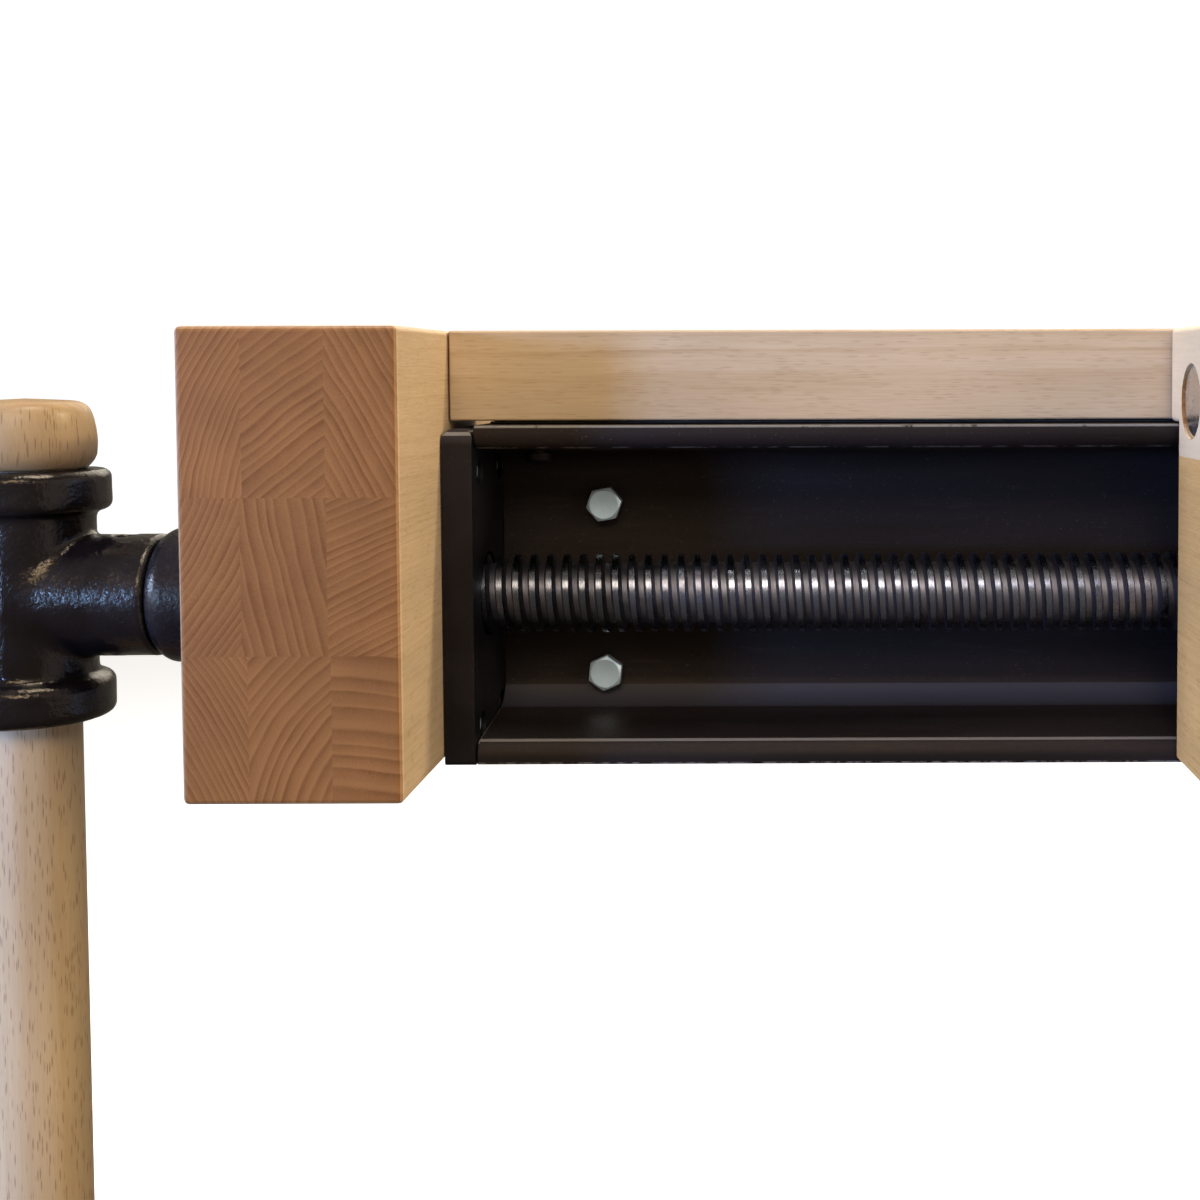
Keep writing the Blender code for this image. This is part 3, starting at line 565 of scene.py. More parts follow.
# angle of the rings, their bend, which side the pith is on, ring spacing, tone
CHOP_STAVES = (
    ((66, 86, -1, 1.8, 0.8), (36, 260, -1, 2.7, 0.55), (-61, 300, -1, 2.4, 0.5)),
    ((58, 105, 1, 2.0, 0.45), (-78, 420, 1, 3.0, 0.15), (25, 230, -1, 2.2, 0.3)),
    ((-61, 150, -1, 1.8, 0.45), (56, 62, -1, 2.9, 0.6), (-7, 150, -1, 4.2, 0.42)),
)


def laminate(bm, low, high, rows, splits, table):
    """Cut a laminated jaw's faces where its staves meet and lay the grain of each along Y."""
    for value in rows:
        slice_at(bm, "Z", value)
    bands = [high[2] + 0.01, *rows, low[2] - 0.01]
    for band, values in enumerate(splits):
        for value in values:
            slice_at(bm, "X", value, bands[band + 1], bands[band], "Z")

    def stave_of(spot):
        row = sum(spot.z < value for value in rows)
        column = sum(spot.x > value for value in splits[row])
        edges_x = [low[0], *splits[row], high[0]]
        edges_z = [high[2], *rows, low[2]]
        across = (edges_x[column] + edges_x[column + 1]) / 2 / MM
        up = (edges_z[row] + edges_z[row + 1]) / 2 / MM
        return stave((across, up), *table[row][column], 137.0 * row + 61.0 * column)

    return grain(bm, "Y", stave_of)


def front_jaw():
    low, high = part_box("front_jaw")
    bm = ease(block(low, high), 0.0016, 3)
    cutters = [lathe([(low.x - 0.01, 0.0133), (high.x - 0.0125, 0.0133), (high.x - 0.0125, 0.022),
                      (high.x + 0.01, 0.022)], "X", SCREW_AXIS, 48)]
    x, wide = low.x, 0.0086
    mouth = [(x - 0.002, wide), (x + 0.0009, wide), (x + 0.0054, M8_HOLE), (x + 0.1, M8_HOLE)]
    cutters += [lathe(mouth, "X", (0, y, z), 40) for y, z in JAW_SCREW_SPOTS]
    bm = bored(bm, cutters)
    show("front_jaw", laminate(bm, low, high, CHOP_ROWS, CHOP_SPLITS, CHOP_STAVES), jaw_beech)


# The rear jaws' staves. The top row ends near z = -0.037 m, where the pale, painted-lit stave (tone 2.0) meets
# the warmer ones below.
REAR_ROWS = (-0.0372, -0.089)
REAR_SPLITS = ((-0.0285,), (-0.024,), (-0.0262,))
REAR_STAVES = (
    ((38, 120, -1, 2.5, 2.0), (-35, 200, 1, 3.0, 0.55)),
    ((-58, 160, 1, 2.4, 0.45), (72, 90, -1, 3.3, 0.6)),
    ((15, 150, -1, 3.6, 0.65), (-70, 220, -1, 2.6, 0.4)),
)


def counterbore(face, y, z, wide):
    profile = [(face - 0.01, wide), (face + 0.008, wide), (face + 0.008, M8_HOLE), (0.02, M8_HOLE)]
    return lathe(profile, "X", (0, y, z), 48)


def rear_jaws():
    """Two blocks, each notched for the saddle and the guide and counterbored for two fasteners."""
    plate_room = ((-0.0063, -0.1, -0.2), (0.02, 0.1, -0.0275))
    guide_room = {"near": ((-0.1, -0.024, -0.2), (0.05, 0.1, -0.0275)),
                  "far": ((-0.1, -0.05, -0.2), (0.05, 0.0429, -0.05))}
    for side in ("near", "far"):
        low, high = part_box(f"rear_jaw_{side}")
        bm = ease(bored(block(low, high), [block(*plate_room), block(*guide_room[side])]), 0.0015, 3)
        bm = bored(bm, [counterbore(low.x, *COACH_SPOTS[side], COACH_BORE),
                        counterbore(low.x, *BOLT_SPOTS[side], BOLT_BORE)])
        show(f"rear_jaw_{side}", laminate(bm, low, high, REAR_ROWS, REAR_SPLITS, REAR_STAVES), rear_beech_painted_light)


def rails():
    low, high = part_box("top_rail")
    bm = ease(block(low, high), 0.0008, 3)
    grain(bm, "X", lambda spot: (72.0, -52.0, 3.4, 70.0, 0.62, 20.0))
    show("top_rail", bm, rail_beech)
    low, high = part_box("back_rail")
    bm = ease(block(low, high), 0.0014, 3)
    slice_at(bm, "Z", -0.079)
    grain(bm, "X", lambda spot: (-20.0, -20.0, 3.0, 75.0, 0.5, 300.0) if spot.z > -0.079
          else (95.0, -150.0, 2.6, 90.0, 0.7, 640.0))
    show("back_rail", bm, rail_beech)


def tommy_bar():
    low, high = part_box("tommy_bar")
    radius = (high.x - low.x) / 2
    profile = soften([(low.z, 0.001), (low.z, radius), (high.z, radius), (high.z, 0.001)], 0.0012)
    bm = lathe(profile, "Z", (HUB_X, 0, 0), 96)
    grain(bm, "Z", lambda spot: (HUB_X / MM - 30.0, 52.0, 3.2, 60.0, 0.6, 0.0))
    show("tommy_bar", bm, bar_beech)


# How far a knob's side is inside its widest, from its mouth to its rounded shoulder, in millimetres
KNOB_SIDE = ((0.0, 3.4), (0.4, 2.7), (1.2, 1.9), (2.4, 1.0), (4.0, 0.3), (6.0, 0.1), (8.0, 0.0),
             (10.0, 0.1), (12.5, 0.4), (15.0, 0.9), (17.0, 1.5), (18.3, 2.1), (19.3, 2.9), (20.1, 4.1),
             (20.6, 5.6), (20.85, 7.4), (21.0, 10.0), (21.25, 14.5))


def knobs():
    """Turned knobs with a socket for the bar, a belly, a rounded shoulder and a slightly domed end."""
    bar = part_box("tommy_bar")
    socket = 0.01435
    for node, sign, tone in (("top_knob", 1, 0.0), ("bottom_knob", -1, 0.4)):
        low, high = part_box(node)
        wide = (high.x - low.x) / 2
        mouth, tip = (low.z, high.z) if sign > 0 else (high.z, low.z)
        deep = (bar[1].z if sign > 0 else bar[0].z) + sign * 0.0003
        stations = [(deep, 0.0004), (deep, socket - 0.0004), (deep - sign * 0.0004, socket),
                    (mouth + sign * 0.0008, socket), (mouth + sign * 0.0002, socket + 0.0003)]
        stations += [(mouth + sign * rise * MM, wide - inset * MM) for rise, inset in KNOB_SIDE]
        bm = lathe(stations + [(tip, 0.0004)], "Z", (HUB_X, 0, 0), 96)
        grain(bm, "Z", lambda spot: (HUB_X / MM - 24.0, 44.0, 2.8, 50.0, tone, 500.0 * sign))
        show(node, bm, knob_beech)


# ---- steel sections and plates

def channel():
    back, toe, web, top, low = 0.0274, -0.0226, 0.0214, -0.028, -0.128
    under = lambda y: 0.0085 + 0.08 * (y - 0.0024)
    outline = rounded([(back, top, 0.0007, 3), (toe, top, 0.0007, 3), (toe, top - under(toe), 0.0045, 8),
                       (web, top - under(web), 0.0085, 14), (web, low + under(web), 0.0085, 14),
                       (toe, low + under(toe), 0.0045, 8), (toe, low, 0.0007, 3), (back, low, 0.0007, 3)])
    start, end = ends("guide_channel")
    bm = ease(prism_x(outline, start, end), 0.0004)
    layer = bm.loops.layers.float["edge"]
    dust_and_sheen = bm.loops.layers.float.new("dust_and_sheen")
    for face in bm.faces:
        spot, lean = face.calc_center_median(), face.normal
        # Upward faces of the lower flange behind the toe get dust_and_sheen: partly dust, partly a painted
        # sheen of light from above on the fillet.
        if lean.z > 0.35 and spot.y > 0.006 and spot.z < SCREW_Z:
            for loop in face.loops:
                loop[dust_and_sheen] = min(1.0, (loop.vert.co.y - 0.006) / 0.006)
        # Edge marks: lip, tip, corner and ridge put thin light lines on the top toe's underside, the lower
        # fillet at the ends, the front and back corners and the lower toe's rounding. They stand partly for
        # paint rubbed to bare metal and partly for painted highlights where light catches these edges.
        depth = min(abs(spot.z - top), abs(spot.z - low))
        corner = depth < 0.0009 and min(abs(spot.y - toe), abs(spot.y - back)) < 0.0009
        ridge = depth > 0.002 and 0.9 < abs(lean.z) < 0.994 and spot.y < toe + 0.0048
        tip = min(abs(spot.x - start), abs(spot.x - end)) < 0.001
        lip = spot.z > SCREW_Z and spot.y < toe + 0.0046 and -0.994 < lean.z < -0.88
        if lip:
            mark = 1.0
        elif tip:
            mark = 1.6 if -0.0205 < spot.y < 0.0 and spot.z < -0.1085 else 0.0
        elif corner:
            mark = 1.5 if spot.y < 0.0 < spot.z - SCREW_Z else 1.0
        elif ridge:
            mark = 1.9 if spot.z < SCREW_Z else 0.5
        else:
            continue
        for loop in face.loops:
            loop[layer] = mark
    show("guide_channel", bm, channel_paint, 60.0)


def corner_piece(edge, side, top, radius, near, far):
    """What to take off the top edge of a plate to leave it round, seen from the front."""
    outside = edge - side * 0.002
    points = [(outside, top - radius), (outside, top + 0.002), (edge + side * radius, top + 0.002)]
    for k in range(9):
        turn = math.pi / 2 * k / 8
        points.append((edge + side * radius * (1 - math.sin(turn)), top - radius * (1 - math.cos(turn))))
    return skin([[(x, y, z) for x, z in points] for y in (near - 0.01, far + 0.01)])


def end_plate():
    low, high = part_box("end_plate")
    outline = rounded([(low.y, high.z, 0.0045, 10), (low.y, low.z, 0.0015, 4), (high.y, low.z, 0.0006, 2),
                       (high.y, high.z, 0.0045, 10)])
    corners = [corner_piece(x, side, high.z, 0.003, low.y, high.y) for x, side in ((low.x, 1), (high.x, -1))]
    bm = ease(bored(prism_x(outline, low.x, high.x), corners), 0.0006, 3)
    bm.normal_update()
    layer = bm.loops.layers.float["edge"]
    for face in bm.faces:
        shoulder = 0.62 < face.normal.z < 0.8 and face.normal.y < 0.0
        for loop in face.loops:
            if face.calc_center_median().z > high.z - 0.0042 and (loop[layer] > 0.0 or shoulder):
                loop[layer] = 2.0
    cutters = [hole("X", SCREW_AXIS, 0.013, -0.27, -0.24)]
    cutters += [hole("X", (0, *spot), M8_HOLE, -0.27, -0.24, 32) for spot in JAW_SCREW_SPOTS]
    show("end_plate", bored(bm, cutters), plate_paint)


def front_plate():
    low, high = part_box("front_plate")
    near, far, floor = -0.0246, 0.0434, -0.1299
    outline = rounded([(low.y, high.z, 0.0008, 2), (low.y, low.z, 0.01, 10), (high.y, low.z, 0.01, 10),
                       (high.y, high.z, 0.0008, 2), (far, high.z, 0.0008, 2), (far, floor, 0.002, 5),
                       (near, floor, 0.002, 5), (near, high.z, 0.0008, 2)])
    cutters = [hole("X", (0, *spot), M8_HOLE, -0.02, 0.02, 32) for spot in BOLT_SPOTS.values()]
    show("front_plate", bored(ease(prism_x(outline, low.x, high.x), 0.0006), cutters), saddle_paint)


def rear_stop_plate():
    low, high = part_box("rear_stop_plate")
    near, far, top, neck, floor = -0.021, 0.0415, -0.003, -0.031, -0.126
    outline = rounded([(-0.014, top, 0.003, 6), (-0.014, neck, 0.001, 2), (near, neck, 0.001, 2),
                       (near, floor, 0.004, 8), (far, floor, 0.004, 8), (far, neck, 0.004, 8),
                       (0.027, neck, 0.001, 2), (0.027, top, 0.003, 6)])
    cutters = [hole("X", SCREW_AXIS, 0.0113, 0.13, 0.17)]
    spots = ((0.0347, SCREW_Z), (0.017, -0.013))
    cutters += [hole("X", (0, *spot), 0.0028, 0.13, 0.17, 24) for spot in spots]
    show("rear_stop_plate", bored(ease(prism_x(outline, low.x, high.x), 0.0006), cutters), plate_paint)


def saddle():
    """A bent trough of 5 mm steel with a flange on each side, its bends rounded inside and out."""
    t, near, far, top, floor = 0.005, -0.0241, 0.0429, -0.028, -0.1295
    edge_near, edge_far, bend = -0.075, 0.095, t + 0.0012
    outline = rounded([
        (edge_near, top, 0.0006, 2), (near, top, t + 0.002, 10), (near, floor, 0.0012, 4),
        (far, floor, 0.0012, 4), (far, top, t + 0.002, 10), (edge_far, top, 0.0006, 2),
        (edge_far, top - t, 0.0006, 2), (far + t, top - t, 0.002, 6), (far + t, floor - t, bend, 10),
        (near - t, floor - t, bend, 10), (near - t, top - t, 0.002, 6), (edge_near, top - t, 0.0006, 2)])
    low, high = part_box("guide_saddle")
    bm = ease(prism_x(outline, low.x, high.x), 0.0005)
    mouth = [(-0.045, 0.0045), (-0.029, 0.0045), (-0.0278, 0.0058), (-0.02, 0.0058)]
    cutters = [lathe(mouth, "Z", (x, y, 0), 40) for x in (0.02, 0.11) for y in (-0.052, 0.072)]
    spots = [(x, 0, z) for x in (0.028, 0.102) for z in (-0.05, -0.111)]
    cutters += [hole("Y", spot, M8_HOLE, -0.035, -0.015, 24) for spot in spots]
    show("guide_saddle", bored(bm, cutters), saddle_paint)


def weld():
    """A fillet bead laid along the corner, in overlapping ripples."""
    low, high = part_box("saddle_weld")
    steps, arc = 130, 7
    rows = []
    for i in range(steps + 1):
        t = i / steps
        y = low.y + (high.y - low.y) * t
        taper = math.sqrt(max(0.0, 1 - (2 * t - 1) ** 8)) * 0.6 + 0.4
        row = [(low.x, y, high.z)]
        for k in range(arc + 1):
            turn = math.pi / 2 * k / arc
            lag = 0.0011 * math.sin(2 * turn)
            ripple = 0.93 + 0.07 * abs(math.sin(math.pi * (y + lag) / 0.0017))
            reach = 0.0046 * ripple * taper * (0.8 + 0.2 * abs(math.cos(2 * turn)))
            row.append((low.x + reach * math.sin(turn), y, high.z - reach * math.cos(turn)))
        rows.append(row)
    show("saddle_weld", skin(rows), weld_steel)


# ---- fasteners and turned parts

def middle(node, axis="X"):
    """Where a fastener's own line runs, taken at the frame's origin along it."""
    low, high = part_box(node)
    centre = (low + high) / 2
    centre[AXES[axis]] = 0.0
    return centre


def hex_head(node, axis, sign, across, head, shank, turn, collar=0.0):
    """A hexagon head with a round chamfer, so its flats end in arcs. It is at the low end for sign 1."""
    low, high = ends(node, axis)
    top, tip = (low, high) if sign > 0 else (high, low)
    flat = across / 2
    s = sign
    crown = flat * 0.94
    drop = math.tan(math.radians(28))
    neck = top + s * (head + collar)
    stations = [lambda r: (top + s * 0.00022, 0.0002), lambda r: (top + s * 0.00018, crown * 0.4),
                lambda r: (top + s * 0.00008, crown * 0.72), lambda r: (top, crown * 0.95),
                lambda r: (top + s * 0.00012, crown),
                lambda r: (top + s * (0.00012 + (r - crown) * drop * 0.92), crown + (r - crown) * 0.92),
                lambda r: (top + s * (0.00022 + (r - crown) * drop), r),
                lambda r: (top + s * (head - 0.0003), r), lambda r: (top + s * head, r - 0.0003)]
    if collar:
        stations += [lambda r: (top + s * head, flat * 0.8), lambda r: (neck, flat * 0.78)]
    stations += [lambda r: (neck, shank), lambda r: (tip - s * shank * 0.5, shank),
                 lambda r: (tip - s * 0.0002, shank * 0.6), lambda r: (tip, shank * 0.45)]
    show(node, hex_lathe(stations, flat, turn, axis, middle(node, axis), 96), zinc, 24.0)


def sunk_head(node, head_radius, shank, socket):
    """A countersunk screw along X with a hexagon socket in its flush head."""
    seat, tip = ends(node)
    cone = head_radius - shank
    profile = [(seat + 0.003, 0.0002), (seat + 0.0027, socket * 0.9, "hex"), (seat + 0.0025, socket, "hex"),
               (seat + 0.0002, socket, "hex"), (seat, socket + 0.0002, "hex"), (seat, head_radius - 0.0005),
               (seat + 0.0002, head_radius - 0.0001), (seat + 0.0005, head_radius),
               (seat + 0.0006 + cone, shank), (tip - shank * 0.6, shank), (tip, shank * 0.5)]
    show(node, lathe(profile, "X", middle(node), 72), zinc, 30.0)


def dome_head(node):
    """A low domed head, nearly flush in its counterbore, with a coarse or a fine thread on its shank."""
    low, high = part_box(node)
    wide = (high.y - low.y) / 2
    if "coach" in node:
        tall, pitch = 0.0074, 0.0026
        thread = ((0.0, 0.0031), (0.001, 0.0031), (0.0016, 0.004), (0.0019, 0.004))
        stop, point = high.x - 0.01, [(high.x - 0.006, 0.0028), (high.x, 0.0006)]
    else:
        tall, pitch = 0.007, 0.0012
        thread = ((0.0, 0.0035), (0.0006, 0.004))
        stop, point = high.x - 0.002, [(high.x - 0.001, 0.0036), (high.x, 0.003)]
    seat = low.x + tall
    crown = ((0.0, 0.03), (0.00005, 0.45), (0.00012, 0.7), (0.00022, 0.86), (0.00036, 0.94), (0.0006, 0.985),
             (0.001, 1.0))
    profile = [(low.x + t, r * wide) for t, r in crown]
    profile += [(seat - 0.0001, wide - 0.0001), (seat, wide - 0.0004), (seat, 0.004)]
    x = seat + (high.x - seat) * 0.45
    while x < stop:
        profile += [(x + along, radius) for along, radius in thread]
        x += pitch
    show(node, lathe(profile + point, "X", middle(node), 48), bright_zinc, 35.0)


def nut(node):
    low, high = ends(node)
    flat, bore = 0.0065, 0.00425
    crown = flat * 0.94
    stations = [lambda r: (low + 0.0008, bore), lambda r: (low, bore + 0.0006), lambda r: (low, crown),
                lambda r: (low + 0.0001 + (r - crown) * 0.5, r),
                lambda r: (high - 0.0001 - (r - crown) * 0.5, r), lambda r: (high, crown),
                lambda r: (high, bore + 0.0006), lambda r: (high - 0.0008, bore)]
    show(node, hex_lathe(stations, flat, -0.3, "X", middle(node), 72, True), zinc, 24.0)


def fasteners():
    for number, turn in enumerate((0.18, 0.42, -0.25, 0.05), 1):
        hex_head(f"web_screw_{number}", "Y", 1, 0.01, 0.0042, 0.003, turn, 0.0009)
    for number, turn in enumerate((0.1, -0.3, 0.45, 0.22), 1):
        hex_head(f"shoe_bolt_{number}", "Y", 1, 0.013, 0.0053, 0.004, turn)
    for number, turn in enumerate((0.3, -0.15), 1):
        hex_head(f"stop_screw_{number}", "X", -1, 0.008, 0.0035, 0.0025, turn)
    for number in (1, 2, 3, 4):
        sunk_head(f"jaw_screw_{number}", 0.0082, 0.004, 0.0028)
    for number in (1, 2):
        sunk_head(f"plate_screw_{number}", 0.0047, 0.0025, 0.0016)
        sunk_head(f"nut_screw_{number}", 0.0047, 0.0025, 0.0016)
    for node in ("coach_screw_near", "coach_screw_far", "jaw_bolt_near", "jaw_bolt_far"):
        dome_head(node)
    nut("jaw_nut_near")
    nut("jaw_nut_far")
    for number in (1, 2):
        low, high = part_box(f"rail_screw_{number}")
        head = ((1.4, 0.2), (1.3, 1.4, "hex"), (0.1, 1.5, "hex"), (0.0, 2.6), (0.3, 3.6), (0.9, 4.3),
                (1.7, 4.5), (3.0, 4.5), (3.0, 2.5))
        profile = [(low.z + rise * MM, radius * MM, *kind) for rise, radius, *kind in head]
        profile += [(high.z - 0.0015, 0.0025), (high.z, 0.0012)]
        spot = ((low.x + high.x) / 2, 0.004, 0)
        show(f"rail_screw_{number}", lathe(profile, "Z", spot, 48), plate_paint, 30.0)


def ring_x(node, outer, inner, finish, easing=0.0004, steps=72):
    low, high = ends(node)
    profile = soften([(low, inner), (low, outer), (high, outer), (high, inner)], easing, True)
    show(node, lathe(profile, "X", SCREW_AXIS, steps, True), finish)


def pin(node, x, radius, finish):
    low, high = ends(node, "Z")
    profile = soften([(low, 0.0002), (low, radius), (high, radius), (high, 0.0002)], 0.0005)
    show(node, lathe(profile, "Z", (x, 0, 0), 40), finish)


# The collar's outline past its front end and out from its axis, in millimetres
COLLAR_SIDE = ((0.0, 16.6), (0.2, 17.4), (0.6, 18.1), (1.3, 18.7), (2.1, 19.4), (2.9, 19.9), (3.8, 20.3),
               (4.9, 20.55), (6.9, 20.6), (11.9, 20.7), (19.9, 20.9), (21.4, 20.9), (22.3, 20.7), (22.9, 20.1))


def turned_parts():
    front, face = ends("front_jaw")
    inner = 0.0103
    low, high = ends("thrust_plate")
    profile = [(low, 0.0125), (low, 0.0332), (low + 0.0008, 0.034), (high, 0.034), (high, 0.0125)]
    bm = lathe(soften(profile, 0.0005, True), "X", SCREW_AXIS, 96, True)
    mouth = [(low - 0.002, 0.0051), (low + 0.0009, 0.0051), (low + 0.0034, 0.0028), (high + 0.002, 0.0028)]
    cutters = [lathe(mouth, "X", (0, y, SCREW_Z), 40) for y in (-0.025, 0.025)]
    show("thrust_plate", bored(bm, cutters), plate_paint)
    profile = [(front - 0.0056, inner), (front - 0.0056, 0.0121), (front - 0.0003, 0.0121),
               (front + 0.001, 0.013), (face - 0.013, 0.013), (face - 0.013, inner)]
    show("journal_bush", lathe(soften(profile, 0.0003, True), "X", SCREW_AXIS, 64, True), bronze)
    ring_x("thrust_washer", 0.0195, inner, bronze, 0.0003, 96)
    ring_x("retainer_ring", 0.019, inner, ring_steel)
    ring_x("tail_bush", 0.011, 0.0083, bronze)
    pin("retainer_pin", -0.2682, 0.002, ring_steel)
    pin("hub_pin", -0.364, 0.003, ring_steel)
    low, high = ends("thrust_collar")
    profile = [(low + along * MM, radius * MM) for along, radius in COLLAR_SIDE]
    profile = [(low, inner), *profile, (high, inner)]
    show("thrust_collar", lathe(profile, "X", SCREW_AXIS, 96, True), collar_paint)


PITCH = 0.005
THREAD_LOW, THREAD_HIGH = -0.255, 0.144
MAJOR, MINOR = 0.012, 0.00925


def helix():
    """A right-hand trapezoidal thread as one surface, cut square and closed at both ends."""
    shape = [(-0.165, MAJOR, 0.0), (0.165, MAJOR, 0.0), (0.183, MAJOR - 0.00016, 0.0),
             (0.325, MINOR + 0.00014, 0.85), (0.35, MINOR, 1.0), (0.65, MINOR, 1.0),
             (0.675, MINOR + 0.00014, 0.85), (0.817, MAJOR - 0.00016, 0.0)]
    columns, per = 56, len(shape)
    turns = int((THREAD_HIGH - THREAD_LOW) / PITCH) + 4
    count = turns * per
    bm = bmesh.new()
    root = bm.verts.layers.float.new("root")
    grid = []
    for j in range(columns):
        angle = 2 * math.pi * j / columns
        column = []
        for m in range(count):
            u, radius, depth = shape[m % per]
            x = THREAD_LOW - 2 * PITCH + PITCH * (m // per + u + j / columns)
            vert = bm.verts.new((x, radius * math.cos(angle), SCREW_Z + radius * math.sin(angle)))
            vert[root] = depth
            column.append(vert)
        grid.append(column)
    for j in range(columns):
        shift = 0 if j < columns - 1 else per
        following = grid[(j + 1) % columns]
        for m in range(count - 1 - shift):
            bm.faces.new((grid[j][m], following[m + shift], following[m + 1 + shift], grid[j][m + 1]))
    for value, side in ((THREAD_LOW, -1), (THREAD_HIGH, 1)):
        bmesh.ops.bisect_plane(bm, geom=bm.verts[:] + bm.edges[:] + bm.faces[:], dist=1e-7,
                               plane_co=(value, 0, 0), plane_no=(side, 0, 0), clear_outer=True)
    rim = [e for e in bm.edges if len(e.link_faces) == 1]
    bmesh.ops.edgeloop_fill(bm, edges=rim)
    loose = [v for v in bm.verts if not v.link_faces]
    bmesh.ops.delete(bm, geom=loose, context="VERTS")
    return bm


def lead_screw():
    low, high = ends("lead_screw")
    bm = helix()
    shoulder, step = THREAD_LOW + 0.0012, THREAD_HIGH - 0.001
    journal = soften([(low, 0.0002), (low, 0.0085), (low + 0.0015, 0.01), (shoulder, 0.01),
                      (shoulder, 0.0002)], 0.0004)
    tail = soften([(step, 0.0002), (step, 0.008), (high - 0.0012, 0.008), (high, 0.0068), (high, 0.003),
                   (high - 0.002, 0.0006)], 0.0003)
    for profile in (journal, tail):
        part = lathe(profile, "X", SCREW_AXIS)
        mesh = bpy.data.meshes.new("temp")
        part.to_mesh(mesh)
        part.free()
        bm.from_mesh(mesh)
        bpy.data.meshes.remove(mesh)
    show("lead_screw", bm, thread_steel, 30.0)


def blend_union(a, b, k):
    h = np.clip(0.5 + 0.5 * (b - a) / k, 0.0, 1.0)
    return b * (1 - h) + a * h - k * h * (1 - h)


def blend_cut(a, b, k):
    """Distance to solid a with solid b taken away, with the new edge rounded."""
    return -blend_union(-a, b, k)


def cylinder_distance(radial, along, radius, half, easing):
    a = np.abs(radial) - radius + easing
    b = np.abs(along) - half + easing
    outside = np.sqrt(np.maximum(a, 0.0) ** 2 + np.maximum(b, 0.0) ** 2)
    return np.minimum(np.maximum(a, b), 0.0) + outside - easing


def hub_distance(p):
    """Signed distance in millimetres to the cast tee, with its fillets."""
    x, y, z = p[:, 0], p[:, 1], p[:, 2]
    upright = np.hypot(x, y)
    flat = np.hypot(y, z)
    shape = cylinder_distance(upright, z, 19.2, 36.0, 1.0)
    shape = blend_union(shape, cylinder_distance(flat, x - 20.8, 18.6, 21.0, 1.2), 2.6)
    rims = cylinder_distance(upright, np.abs(z - 0.5) - 31.7, 23.8, 6.3, 2.8)
    shape = blend_union(shape, rims, 3.0)
    shape = blend_cut(shape, upright - 14.6, 1.6)
    bore = np.maximum(flat - 10.3, -x)
    shape = blend_cut(shape, bore, 0.6)
    return blend_cut(shape, np.hypot(x - 30.0, y) - 3.3, 0.7)


def tee_hub():
    """The CAD casting remeshed, drawn onto the rounded shape and left uneven like a sand casting."""
    source = as_object("temp_hub", cad_copy("tee_hub"))
    remesh = source.modifiers.new("even", "REMESH")
    remesh.mode = "VOXEL"
    remesh.voxel_size = 0.00095
    bpy.context.view_layer.update()
    bm = evaluated(source)
    centre = np.array((HUB_X, 0.0, SCREW_Z))
    points = (np.array([v.co for v in bm.verts]) - centre) / MM
    step = 0.05
    for _ in range(7):
        here = hub_distance(points)
        slope = np.stack([(hub_distance(points + step * d) - hub_distance(points - step * d)) / (2 * step)
                          for d in np.eye(3)], axis=1)
        size = np.maximum((slope ** 2).sum(1), 0.25)
        points -= np.clip(here, -0.8, 0.8)[:, None] * slope / size[:, None]
    slope /= np.sqrt(np.maximum((slope ** 2).sum(1), 1e-6))[:, None]
    for vert, spot, out in zip(bm.verts, points, slope):
        rough = noise.fractal(Vector(spot * 0.33), 0.9, 2.2, 3) * 0.055
        rough += noise.noise(Vector(spot * 0.09)) * 0.12
        if math.hypot(spot[0], spot[1]) < 15.2 or math.hypot(spot[1], spot[2]) < 11.0:
            rough = 0.0
        vert.co = Vector((spot + out * rough) * MM + centre)
    show("tee_hub", bm, casting_paint, 75.0)


def hidden_parts():
    show("lead_nut", ease(cad_copy("lead_nut"), 0.0004), bronze)
    show("wear_pad", ease(cad_copy("wear_pad"), 0.0004), nylon)
    show("rail_packing", ease(cad_copy("rail_packing"), 0.00012, 1), packing)
    bm = ease(cad_copy("guide_shoe"), 0.0006)
    grain(bm, "X", lambda spot: (-60.0, -150.0, 2.8, 90.0, 0.5, 40.0))
    show("guide_shoe", bm, shoe_oak)


for make in (front_jaw, rear_jaws, rails, tommy_bar, knobs, channel, end_plate, front_plate, rear_stop_plate,
             saddle, weld, fasteners, turned_parts, lead_screw, tee_hub, hidden_parts):
    make()


# ---- camera, floor and light

def camera():
    data = bpy.data.cameras.new("photo_camera")
    data.sensor_width, data.lens = 36.0, 46.778
    data.shift_x, data.shift_y = -0.175, -0.1333
    data.clip_start = 0.01
    yaw, pitch, roll = (math.radians(a) for a in (0.176, 2.565, -0.165))
    forward = Vector((math.sin(yaw) * math.cos(pitch), math.cos(yaw) * math.cos(pitch), -math.sin(pitch)))
    right = Vector((math.cos(yaw), -math.sin(yaw), 0.0))
    up = right.cross(forward)
    x_axis = right * math.cos(roll) + up * math.sin(roll)
    y_axis = up * math.cos(roll) - right * math.sin(roll)
    thing = stand("photo_camera", data)
    turn = Matrix((x_axis, y_axis, -forward)).transposed()
    thing.matrix_world = Matrix.Translation((-0.155558, -0.477344, -0.012072)) @ turn.to_4x4()
    bpy.context.scene.camera = thing


FLOOR_Z = -0.62


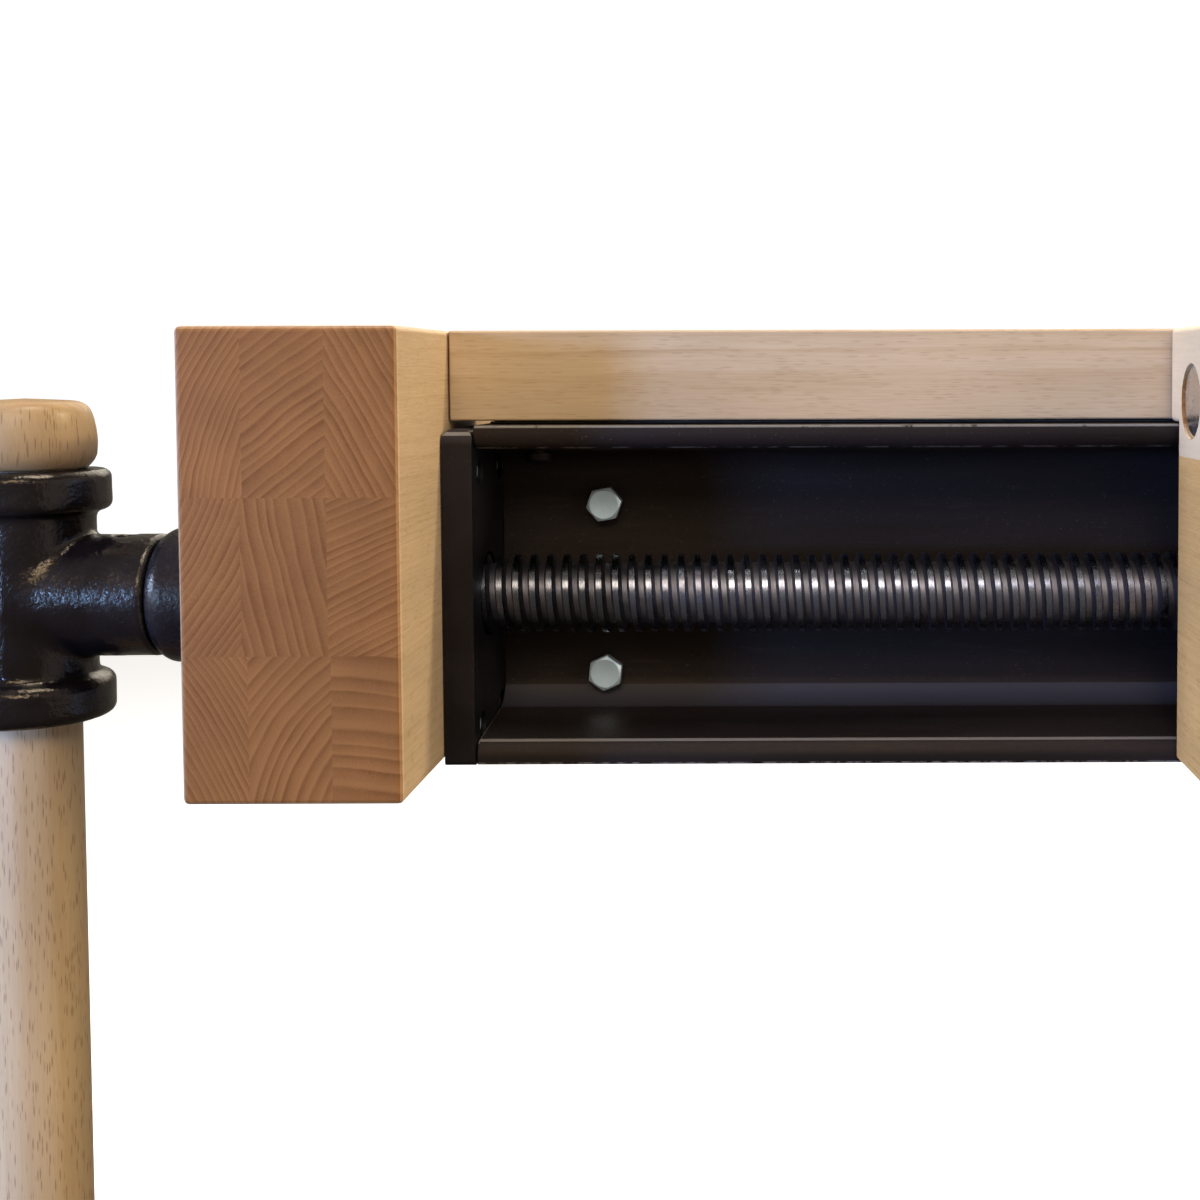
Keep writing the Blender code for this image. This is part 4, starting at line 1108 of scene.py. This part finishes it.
def floor():
    bm = bmesh.new()
    corners = [(-5, -5), (5, -5), (5, 5), (-5, 5)]
    bm.faces.new([bm.verts.new((x, y, FLOOR_Z)) for x, y in corners])
    thing = as_object("floor", bm)
    white = Graph("floor_white", Base_Color=(0.86, 0.86, 0.86, 1.0), Roughness=0.9,
                  Emission_Color=(1.0, 1.0, 1.0, 1.0), Emission_Strength=0.6)
    thing.data.materials.append(white.material)
    thing.visible_diffuse = False
    thing.visible_glossy = False


TARGET = Vector((-0.15, 0.0, -0.07))


def lamp(name, azimuth, elevation, distance, size, level):
    """An area light. Level is what it adds, per colour, to a white surface that faces it."""
    a, e = math.radians(azimuth), math.radians(elevation)
    away = Vector((math.sin(a) * math.cos(e), -math.cos(a) * math.cos(e), math.sin(e)))
    data = bpy.data.lights.new(name, "AREA")
    data.shape = "SQUARE"
    data.size = size
    strong = max(level)
    data.color = tuple(c / strong for c in level)
    data.energy = strong * math.pi ** 2 * distance ** 2
    thing = stand(name, data)
    thing.location = TARGET + away * distance
    thing.rotation_mode = "QUATERNION"
    thing.rotation_quaternion = away.to_track_quat("Z", "Y")
    thing.visible_camera = False


def lights():
    lamp("key", -6, 32, 1.8, 0.6, (0.3, 0.25, 0.175))
    lamp("window", -45, 2, 1.6, 0.24, (0.17, 0.34, 0.8))
    lamp("left_rim", -76, 9.5, 1.8, 0.25, (0.32, 0.52, 1.02))
    lamp("left_fill", -70, 12, 1.9, 1.3, (0.16, 0.105, 0.055))
    lamp("right_sun", 98, 35, 1.8, 0.1, (0.5, 0.44, 0.3))
    lamp("right_fill", 62, 15, 1.8, 1.2, (0.38, 0.335, 0.24))
    lamp("overhead", 20, 84, 1.7, 0.7, (0.6, 0.58, 0.54))
    lamp("back_fill", 180, 35, 2.0, 1.6, (0.45, 0.42, 0.36))
    lamp("camera_glint", 4, 31, 1.3, 0.3, (0.1, 0.1, 0.11))
    studio()


def studio():
    """A plain white ground to look at, and a soft light that is warm and dim from below."""
    world = bpy.data.worlds.new("studio")
    bpy.context.scene.world = world
    world.use_nodes = True
    tree = world.node_tree
    tree.nodes.clear()

    def new(kind, *sources):
        made = tree.nodes.new("ShaderNode" + kind)
        for k, source in enumerate(sources):
            tree.links.new(source, made.inputs[k])
        return made

    seen = new("Background")
    seen.inputs[0].default_value = (1.0, 1.0, 1.0, 1.0)
    seen.inputs[1].default_value = 1.05
    height = new("SeparateXYZ", new("TexCoord").outputs["Generated"])
    tilt = new("Math", height.outputs[2])
    tilt.operation = "MULTIPLY_ADD"
    tilt.inputs[1].default_value = tilt.inputs[2].default_value = 0.5
    sky = new("ValToRGB", tilt.outputs[0])
    low, high = sky.color_ramp.elements
    low.position, high.position = 0.0, 0.6
    low.color = (0.1, 0.085, 0.07, 1.0)
    high.color = (0.27, 0.245, 0.2, 1.0)
    soft = new("Background", sky.outputs[0])
    either = new("MixShader", new("LightPath").outputs["Is Camera Ray"], soft.outputs[0], seen.outputs[0])
    new("OutputWorld", either.outputs[0])
    bpy.context.scene.view_settings.view_transform = "Standard"


camera()
floor()
lights()
